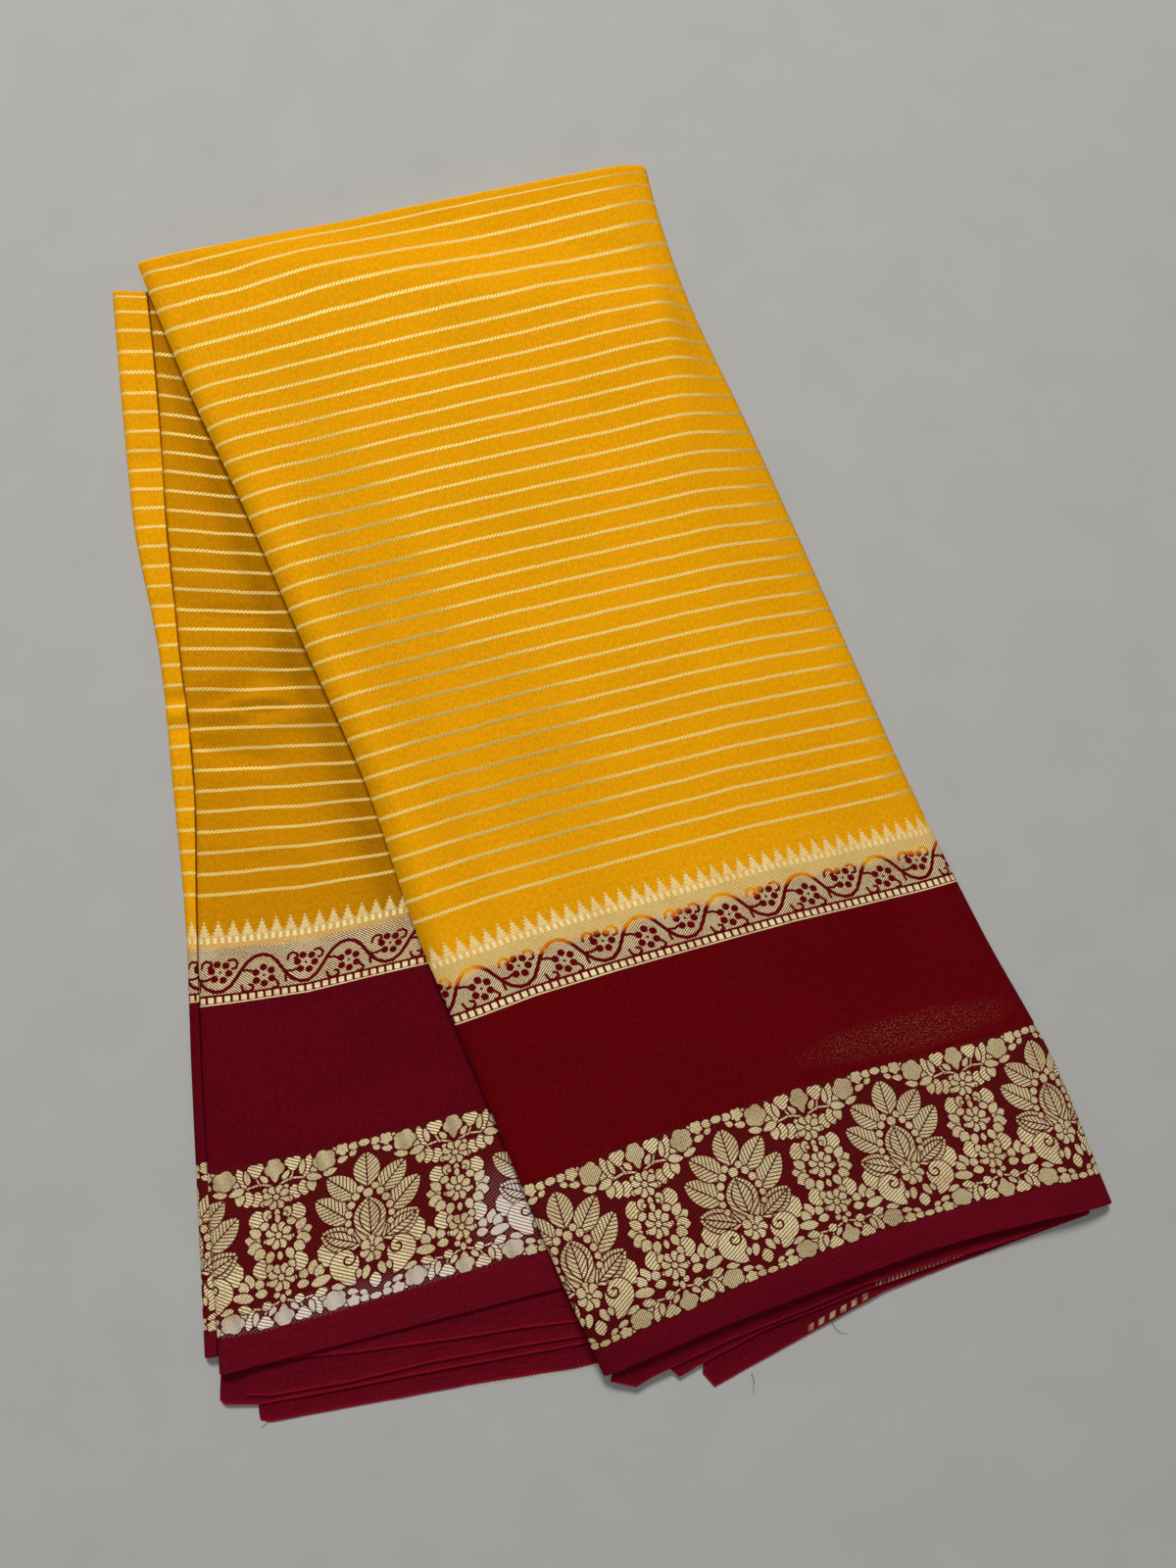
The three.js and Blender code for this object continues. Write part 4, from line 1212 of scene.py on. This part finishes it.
class SareePattern(bpy.types.PropertyGroup):
    """Sizes of the woven pattern, in millimetres of cloth."""

    stripe_pitch: amount("Stripe pitch", "Distance between two gold stripes", 10.15, 4, 40)
    stripe_width: amount("Stripe width", "Width of a gold stripe", 1.6, 0.4, 4)
    stripe_offset: amount("First stripe", "Phase of the stripes over the vine band's lower line", 45.4, 30, 80)
    temple_pitch: amount("Temple pitch", "Distance between two gold spires", 6.65, 3, 20)
    temple_base: amount("Temple base", "Foot of the spires over the vine band's lower line", 30.4, 28, 50)
    temple_height: amount("Temple height", "Height of a spire", 7.6, 3, 20)
    dash_pitch: amount("Dash pitch", "Distance between a stripe's slanted dashes", 1.95, 0.8, 6)
    twill_lean: amount("Twill lean", "Slope of the spires' fine twill", 0.8, -3, 3)


class VineBand(bpy.types.PropertyGroup):
    """Sizes of the vine band, in millimetres of cloth."""

    height: amount("Height", "Height of the band's chart", 28.5, 20, 40)
    squares: amount("Square pitch", "Distance between two small squares", 3.75, 2, 8)


class LotusBand(bpy.types.PropertyGroup):
    """Sizes of the lotus band, in millimetres of cloth."""

    repeat: amount("Repeat", "Distance between two lotuses", 82.0, 60, 120)
    flower_row: amount("Flower row", "Row of the lotus flower in the chart", 53.8, 30, 70)
    height: amount("Height", "Rows of the band's chart", 78.0, 60, 100)
    fine_step: amount("Fine step", "Grid of the bands with figures", 0.48, 0.4, 2)


class SareeColours(bpy.types.PropertyGroup):
    """Colours of the cloth, its threads and the table, linear."""

    field: hue("Field", "Yellow of the field", (0.80, 0.34, 0.002))
    border: hue("Border", "Maroon of the plain border", (0.112, 0.0012, 0.003))
    # A darker copy of the field's yellow for the lower stack: painted shade.
    field_under: hue("Field below", "Yellow of the field on the lower stack", (0.60, 0.24, 0.001))
    border_under: hue("Border below", "Maroon of the border on the lower stack", (0.105, 0.0018, 0.007))
    border_band: hue("Band ground", "Maroon of the lotus band", (0.088, 0.0012, 0.0036))
    margin: hue("Hem", "Maroon of the hem", (0.125, 0.003, 0.010))
    bleed: hue("Bleed", "Orange where the dyes meet", (0.62, 0.13, 0.004))
    # On woven gold, these two are the ends of the threads' painted glints and painted shade.
    gold: hue("Gold", "Bright gold thread", (1.0, 0.85, 0.48))
    gold_dark: hue("Dark gold", "Gold thread in the weave's shade", (0.46, 0.235, 0.085))
    # The gold's painted highlight, where it shines white.
    painted_white_glint: hue("Silver", "Gold thread where it shines white", (0.95, 0.88, 0.84))
    stripe: hue("Stripe", "Gold of the field's stripes", (0.98, 0.70, 0.185))
    spire: hue("Spire", "Gold of the temple row", (1.0, 0.80, 0.30))
    # The stripes' olive is their painted shade, where the gold faces away from the light.
    painted_shade_olive: hue("Olive", "Stripes where they are dull", (0.30, 0.19, 0.015))
    table: hue("Table", "Pale table", (0.42, 0.415, 0.40))


class StageSizes(bpy.types.PropertyGroup):
    """The camera and the lights."""

    lens: amount("Lens", "Focal length of the camera", 27.02, 10, 200, unit="CAMERA")
    camera_height: amount("Camera height", "Height over the table", 0.578, 0.3, 2, unit="LENGTH")
    key_power: amount("Key light", "Power of the large light", 82.5, 0, 200, unit="POWER")
    sky: amount("Sky", "Strength of the even light all round", 0.16, 0, 5)


def upper_stack():
    """The upper stack, which lies turned over the lower one."""
    return Stack(
        UPPER_EDGES, UPPER_SIDES, UPPER_CREASES, UPPER_WAVES, UPPER_THICKNESS, UPPER_SIZE, upper_rest,
        UPPER_BOWS, UPPER_BENDS)


def lower_stack():
    """The lower stack, which lies on the table."""
    return Stack(
        LOWER_EDGES, LOWER_SIDES, (), LOWER_WAVES, LOWER_THICKNESS, LOWER_SIZE, ground, bends=LOWER_BENDS)


def side_fold():
    """The lower fold that shows beside the lower stack."""
    return Stack(
        SIDE_FOLD_EDGES, SIDE_FOLD_SIDES, SIDE_FOLD_CREASES, SIDE_FOLD_WAVES, SIDE_FOLD_THICKNESS,
        SIDE_FOLD_SIZE, ground)


def stretch_figures(context, stack, name, look):
    """What draws a stretch's figures from lengths across and along the cloth, or nothing for plain cloth."""
    start, end = STRETCHES[name][:2]
    top, long = start * stack.length, (end - start) * stack.length
    draw = {"vine": vine_figures, "lotus": lotus_figures}.get(name)
    if draw is None:
        return None
    band = getattr(context.scene, f"saree_{name}")
    return lambda u, v: draw(u, v - top, band, *look[name], long)


def stretch_of_cloth(context, prefix, stack, name, finish, look):
    """One stretch of a stack's outer cloth, fine where its figures are drawn."""
    start, end, lap_start, lap_end, node, slot = STRETCHES[name]
    layers = stretch_figures(context, stack, name, look)
    step, seen, stride = PLAIN_STEP, None, 2
    if layers:
        step, seen, stride = context.scene.saree_lotus.fine_step, look["seen"], 8
    weft = Weft(stack, step, seen)
    warp = Warp(stack, start, end, step, lap_start, lap_end)
    return outer_cloth(
        f"{prefix}_{name}_cloth", stack, warp, weft, stride, finish, f"{prefix}_{node}",
        layers)


def build_stack(context, prefix, stack, look):
    """The five stretches of a stack's outer cloth, with their finishes."""
    colours, pattern = context.scene.saree_colours, context.scene.saree_pattern
    field, border = (getattr(colours, name) for name in look["colours"])
    finishes = {
        "field": field_finish(
            f"{prefix} field", colours, pattern, stack, field, look["painted_stripe_shade"], look["shade"], look["painted_edge_shade"]),
        "vine": vine_finish(f"{prefix} vine band", colours, stack, *look["dyes"]),
        "plain": maroon_finish(f"{prefix} plain border", colours, look["specks"], border),
        "lotus": lotus_finish(f"{prefix} lotus band", colours, look["lotus_lean"], look["pale"]),
        "margin": margin_finish(f"{prefix} hem margin", colours, painted_edge_light_shade=False),
    }
    for name, finish in finishes.items():
        stretch_of_cloth(context, prefix, stack, name, finish, look)


class SAREE_OT_upper_cloth(bpy.types.Operator):
    """Build the outer cloth of the upper stack"""

    bl_idname = "saree.upper_cloth"
    bl_label = "Upper Cloth"
    bl_options = {"REGISTER", "UNDO"}

    def execute(self, context):
        build_stack(context, "upper", upper_stack(), UPPER_LOOK)
        return {"FINISHED"}


class SAREE_OT_lower_cloth(bpy.types.Operator):
    """Build the outer cloth of the lower stack"""

    bl_idname = "saree.lower_cloth"
    bl_label = "Lower Cloth"
    bl_options = {"REGISTER", "UNDO"}

    def execute(self, context):
        build_stack(context, "lower", lower_stack(), LOWER_LOOK)
        return {"FINISHED"}


def layered_body(name, stack, finish, node):
    """The hidden layers of a stack: a rounded body whose open sides show two fold edges each.

    Under the rounding, a column goes down the side in bulges, each the sine of its share of the height.
    """
    weft = Weft(stack, LAYER_STEP)
    warp = Warp(stack, 0, CORE_END, LAYER_STEP)
    outer, across, along = cloth_surface(stack, weft, warp, LAYER_DEPTH)
    side_foot = stack.sides["left"][1]
    if side_foot > 0:
        shares = np.linspace(0, 1, LAYER_ROWS + 1)[:-1]
        bulge = np.abs(np.sin(math.pi * shares * 2)) ** 0.7
        inset = LAYER_INSET + LAYER_NOTCH * (1 - bulge) + LAYER_LEAN * shares
        row_along, rise, _, _ = warp.places(LAYER_DEPTH)
        place = np.broadcast_to(inset[None, :], (len(row_along), len(shares)))
        row_along = np.broadcast_to(row_along[:, None], place.shape)
        x, y, share_across = stack.plan(place, row_along)
        full = mix(*stack.thickness, smooth(share_across))
        crown = full + stack.crease_height(share_across, row_along) - LAYER_DEPTH - FOOT_LIFT
        z = stack.rest(x, y) + FOOT_LIFT + crown * side_foot * shares[None, :] * rise[:, None]
        outer = np.concatenate([placed(x, y, z), outer], axis=1)
        across = np.concatenate([across[:, :1] - (1 - shares)[None, :] * 6, across], axis=1)
    along = np.broadcast_to(along[:, :1], across.shape)
    return solid_on_rest(name, stack, weft, warp, outer, across, along, LAYER_DEPTH, finish, node)


def solid_on_rest(name, stack, weft, warp, outer, across, along, depth, finish, node, layers=None):
    """A body between an outer grid and what carries the stack, its columns spread evenly below."""
    row_along = warp.places(depth)[0]
    open_side = depth > 0 and stack.sides["left"][1] > 0
    first = LAYER_INSET + LAYER_NOTCH if open_side else weft.left.inset(weft.left.start, depth)
    last = stack.span(row_along)[:, None] - weft.right.inset(weft.right.start, depth)
    place = mix(first, last, np.linspace(0, 1, outer.shape[1]))
    x, y, _ = stack.plan(place, np.broadcast_to(row_along[:, None], place.shape))
    rows, columns = np.arange(outer.shape[0]), np.arange(outer.shape[1])
    piece = closed_shell(name, outer, placed(x, y, stack.rest(x, y)), rows, columns, across, along, layers)
    piece.data.materials.append(finish)
    declare(piece, node)
    return piece


class SAREE_OT_hidden_layers(bpy.types.Operator):
    """Build the hidden layers of both stacks"""

    bl_idname = "saree.hidden_layers"
    bl_label = "Hidden Layers"
    bl_options = {"REGISTER", "UNDO"}

    def execute(self, context):
        colours, pattern = context.scene.saree_colours, context.scene.saree_pattern
        for prefix, stack in (("upper", upper_stack()), ("lower", lower_stack())):
            finish = layers_finish(f"{prefix} folded layers", colours, pattern, stack)
            layered_body(f"{prefix}_folded_layers", stack, finish, f"{prefix}_hidden_layers")
        return {"FINISHED"}


class SAREE_OT_side_fold(bpy.types.Operator):
    """Build the lower fold that shows beside the lower stack"""

    bl_idname = "saree.side_fold"
    bl_label = "Side Fold"
    bl_options = {"REGISTER", "UNDO"}

    def execute(self, context):
        colours, pattern = context.scene.saree_colours, context.scene.saree_pattern
        stack = side_fold()
        finishes = {
            "field": field_finish("side field", colours, pattern, stack, colours.field),
            "vine": vine_finish("side vine band", colours, stack, *SIDE_FOLD_LOOK["dyes"]),
            "plain": maroon_finish("side plain border", colours, None, colours.border_under),
            "lotus": lotus_finish("side lotus band", colours),
            "margin": margin_finish("side hem margin", colours, painted_edge_light_shade=False),
        }
        for name, finish in finishes.items():
            start, end, _, _, node, slot = STRETCHES[name]
            figures = stretch_figures(context, stack, name, SIDE_FOLD_LOOK)
            step = 0.6 if figures else 1.0
            weft, warp = Weft(stack, step), Warp(stack, start, end, step if start else 1.6)
            outer, across, along = cloth_surface(stack, weft, warp, 0)
            layers = figures(across, along) if figures else None
            solid_on_rest(
                f"side_{name}_cloth", stack, weft, warp, outer, across, along, 0, finish,
                f"side_fold_{node}", layers)
        return {"FINISHED"}


def hem_layer(name, stack, height, corners, finish, seed):
    """A hem layer: a thin body from the hidden layers out to its own edge, waving a little.

    A point is mixed between the layer's start and its edge line; its height is the rest's plus low waves,
    and its wall thins towards the edge.
    """
    knots, edge_x, edge_y = np.array(corners, dtype=float).T
    place = np.unique(np.concatenate([knots, np.arange(knots[0], knots[-1], HEM_STEP)]))
    start = CORE_END + HEM_START / stack.length
    x0, y0, _ = stack.plan(place, np.full(place.shape, start))
    x1, y1 = np.interp(place, knots, edge_x), np.interp(place, knots, edge_y)
    share = np.linspace(0, 1, HEM_ROWS)[:, None]
    x, y = mix(x0, x1, share), mix(y0, y1, share)
    ripple = 0.22 * np.sin(place / 9.0 + seed) + 0.16 * np.sin(place / 4.3 + 2.1 * seed)
    under = stack.rest(x, y) + height + share**2 * np.maximum(0, ripple)
    wall = HEM_WALL * mix(1.0, HEM_EDGE_WALL, share**1.5)
    top, low = placed(x, y, under + wall), placed(x, y, under)
    across = np.broadcast_to(place, x.shape)
    along = (share - 1) * np.hypot(x1 - x0, y1 - y0)
    rows, columns = np.arange(x.shape[0]), np.arange(x.shape[1])
    piece = closed_shell(name.replace("hem", "hem_cloth"), top, low, rows, columns, across, along)
    piece.data.materials.append(finish)
    declare(piece, name)
    return piece


class SAREE_OT_hem_layers(bpy.types.Operator):
    """Build the hem layers that peek out under both stacks"""

    bl_idname = "saree.hem_layers"
    bl_label = "Hem Layers"
    bl_options = {"REGISTER", "UNDO"}

    def execute(self, context):
        colours = context.scene.saree_colours
        plain = margin_finish("hem layers", colours)
        reverse = {
            "upper_hem_2": margin_finish("hem reverse dashes", colours, REVERSE_DASHES),
            "upper_hem_3": margin_finish("hem reverse squares", colours, REVERSE_SQUARES),
        }
        for seed, (stack, hems) in enumerate(((lower_stack(), LOWER_HEMS), (upper_stack(), UPPER_HEMS))):
            for count, (name, (height, corners)) in enumerate(hems.items()):
                hem_layer(name, stack, height, corners, reverse.get(name, plain), 3.0 * seed + 1.3 * count)
        return {"FINISHED"}


def thread_bundle(name, paths, radius, finish):
    """Thin threads: each path is carried with a three-sided section that thins to its end."""
    points, faces = [], []
    for path in paths:
        path = np.array(path)
        steps = len(path)
        ahead = np.gradient(path, axis=0)
        ahead /= np.linalg.norm(ahead, axis=1)[:, None]
        side = np.cross(ahead, (0, 0, 1))
        side /= np.maximum(1e-9, np.linalg.norm(side, axis=1))[:, None]
        up = np.cross(side, ahead)
        size = radius * np.linspace(1, 0.4, steps)[:, None]
        ring = [path + size * (side * math.cos(a) + up * math.sin(a)) for a in (0.5, 2.6, 4.7)]
        first = sum(len(p) for p in points)
        points.append(np.stack(ring, axis=1).reshape(-1, 3))
        index = first + np.arange(steps * 3).reshape(steps, 3)
        turned = np.roll(index, -1, axis=1)
        around = np.stack([index[:-1], turned[:-1], turned[1:], index[1:]], axis=-1)
        faces += around.reshape(-1, 4).tolist()
        faces += [index[0, ::-1].tolist(), index[-1].tolist()]
    mesh = bpy.data.meshes.new(name)
    mesh.from_pydata((np.concatenate(points) * MM).tolist(), [], faces)
    mesh.update()
    piece = linked(name, mesh)
    piece.data.materials.append(finish)
    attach(piece, "root")
    return piece


def fringe(random, corners, start, end, pitch, height, length):
    """Short cut threads that stand out from a hem's edge line between two places, at a mean pitch."""
    knots, edge_x, edge_y = np.array(corners, dtype=float).T
    place = np.arange(start, end, pitch)
    place = place + random.uniform(-0.3, 0.3, len(place))
    x = np.interp(place, knots, edge_x) + PLAN_SHIFT[0]
    y = np.interp(place, knots, edge_y) + PLAN_SHIFT[1]
    longs = random.uniform(0.5, 1, len(place)) * length
    leans = random.uniform(-0.5, 0.5, len(place))
    low = max(0.15, height - 0.5)
    return [[
        (px, py + 0.6, height), (px + lean * 0.4, py - long * 0.4, mix(height, low, 0.4)),
        (px + lean, py - long, low)] for px, py, long, lean in zip(x, y, longs, leans)]


class SAREE_OT_hem_threads(bpy.types.Operator):
    """Build the short cut threads along the hems and the few loose ones"""

    bl_idname = "saree.hem_threads"
    bl_label = "Hem Threads"
    bl_options = {"REGISTER", "UNDO"}

    def execute(self, context):
        colours = context.scene.saree_colours
        random = np.random.default_rng(7)
        gold = thread_finish("gold hem threads", colours.gold, 0.6)
        red = thread_finish("maroon loose threads", colours.margin, 0.0)
        paths = fringe(random, LOWER_HEMS["lower_hem_4"][1], 108, 204, 1.0, 0.5, 1.9)
        paths += fringe(random, UPPER_HEMS["upper_hem_3"][1], 66, 120, 2.6, 0.5, 1.0)
        thread_bundle("hem_threads", paths, 0.2, gold)
        thread_bundle("loose_threads", LOOSE_THREADS, 0.14, red)
        return {"FINISHED"}


class SAREE_OT_stage(bpy.types.Operator):
    """Set the table, the soft lights and the camera"""

    bl_idname = "saree.stage"
    bl_label = "Stage"
    bl_options = {"REGISTER", "UNDO"}

    def execute(self, context):
        stage, colours = context.scene.saree_stage, context.scene.saree_colours
        mesh = bpy.data.meshes.new("table")
        corners = [(x, y, -TABLE_DROP) for x, y in ((-1, -1), (1, -1), (1, 1), (-1, 1))]
        corners = [(x * TABLE_HALF, y * TABLE_HALF, z) for x, y, z in corners]
        mesh.from_pydata(corners, [], [(0, 1, 2, 3)])
        table = linked("table", mesh)
        finish = mottled_finish(
            "pale table", colours.table, 26.0, 5.0, 0.94, 0.12, {"Roughness": 0.85}, 0.0003)
        table.data.materials.append(finish)

        for name, (place, width, share, tint) in LIGHTS.items():
            light = bpy.data.lights.new(name, "AREA")
            light.shape, light.size, light.energy, light.color = "DISK", width, stage.key_power * share, tint
            lamp = linked(name, light)
            lamp.location = place
            lamp.rotation_euler = (Vector(LIGHTS_AIM) - Vector(place)).to_track_quat("-Z", "Y").to_euler()
        world = bpy.data.worlds.new("soft sky")
        world.use_nodes = True
        sky = world.node_tree.nodes["Background"].inputs
        sky["Color"].default_value, sky["Strength"].default_value = SKY_COLOUR, stage.sky
        context.scene.world = world
        context.scene.view_settings.view_transform = "Standard"

        # The camera looks down on the saree from over its hem end, tilted towards the doubled edge
        back = Vector(CAMERA_BACK).normalized()
        across = (Vector((1, 0, 0)) - back * back.x).normalized()
        turn = Matrix((across, (-back).cross(across), -back)) @ Matrix.Diagonal((1, -1, -1))
        camera = bpy.data.cameras.new("camera")
        camera.lens, camera.sensor_width, camera.sensor_fit = stage.lens, 36, "AUTO"
        camera.clip_start = 0.01
        eye = linked("camera", camera)
        x, y = ((place + shift) * MM for place, shift in zip(CAMERA_PLAN, PLAN_SHIFT))
        eye.matrix_world = Matrix.Translation((x, y, stage.camera_height)) @ turn.to_4x4()
        context.scene.camera = eye
        return {"FINISHED"}


PARTS = (
    SAREE_OT_upper_cloth, SAREE_OT_lower_cloth, SAREE_OT_hidden_layers, SAREE_OT_side_fold,
    SAREE_OT_hem_layers, SAREE_OT_hem_threads, SAREE_OT_stage,
)
GROUPS = {
    "saree_pattern": SareePattern, "saree_vine": VineBand, "saree_lotus": LotusBand,
    "saree_colours": SareeColours, "saree_stage": StageSizes,
}


class SAREE_PT_panel(bpy.types.Panel):
    """Lists the saree's pieces, sizes and colours"""

    bl_idname = "SAREE_PT_panel"
    bl_label = "Folded Saree"
    bl_space_type = "VIEW_3D"
    bl_region_type = "UI"
    bl_category = "Saree"

    def draw(self, context):
        for part in PARTS:
            self.layout.operator(part.bl_idname)
        for name, group in GROUPS.items():
            box = self.layout.box()
            for key in group.__annotations__:
                box.prop(getattr(context.scene, name), key)


def register():
    """Adds the groups of sizes, the operators and the panel."""
    for group in GROUPS.values():
        bpy.utils.register_class(group)
    for name, group in GROUPS.items():
        setattr(bpy.types.Scene, name, bpy.props.PointerProperty(type=group))
    for part in (*PARTS, SAREE_PT_panel):
        bpy.utils.register_class(part)


def unregister():
    """Takes them away again."""
    for part in (SAREE_PT_panel, *reversed(PARTS)):
        bpy.utils.unregister_class(part)
    for name in GROUPS:
        delattr(bpy.types.Scene, name)
    for group in reversed(GROUPS.values()):
        bpy.utils.unregister_class(group)


def main():
    """Builds the saree and its stage."""
    register()
    for part in PARTS:
        group, name = part.bl_idname.split(".")
        getattr(getattr(bpy.ops, group), name)()


if __name__ == "__main__":
    main()
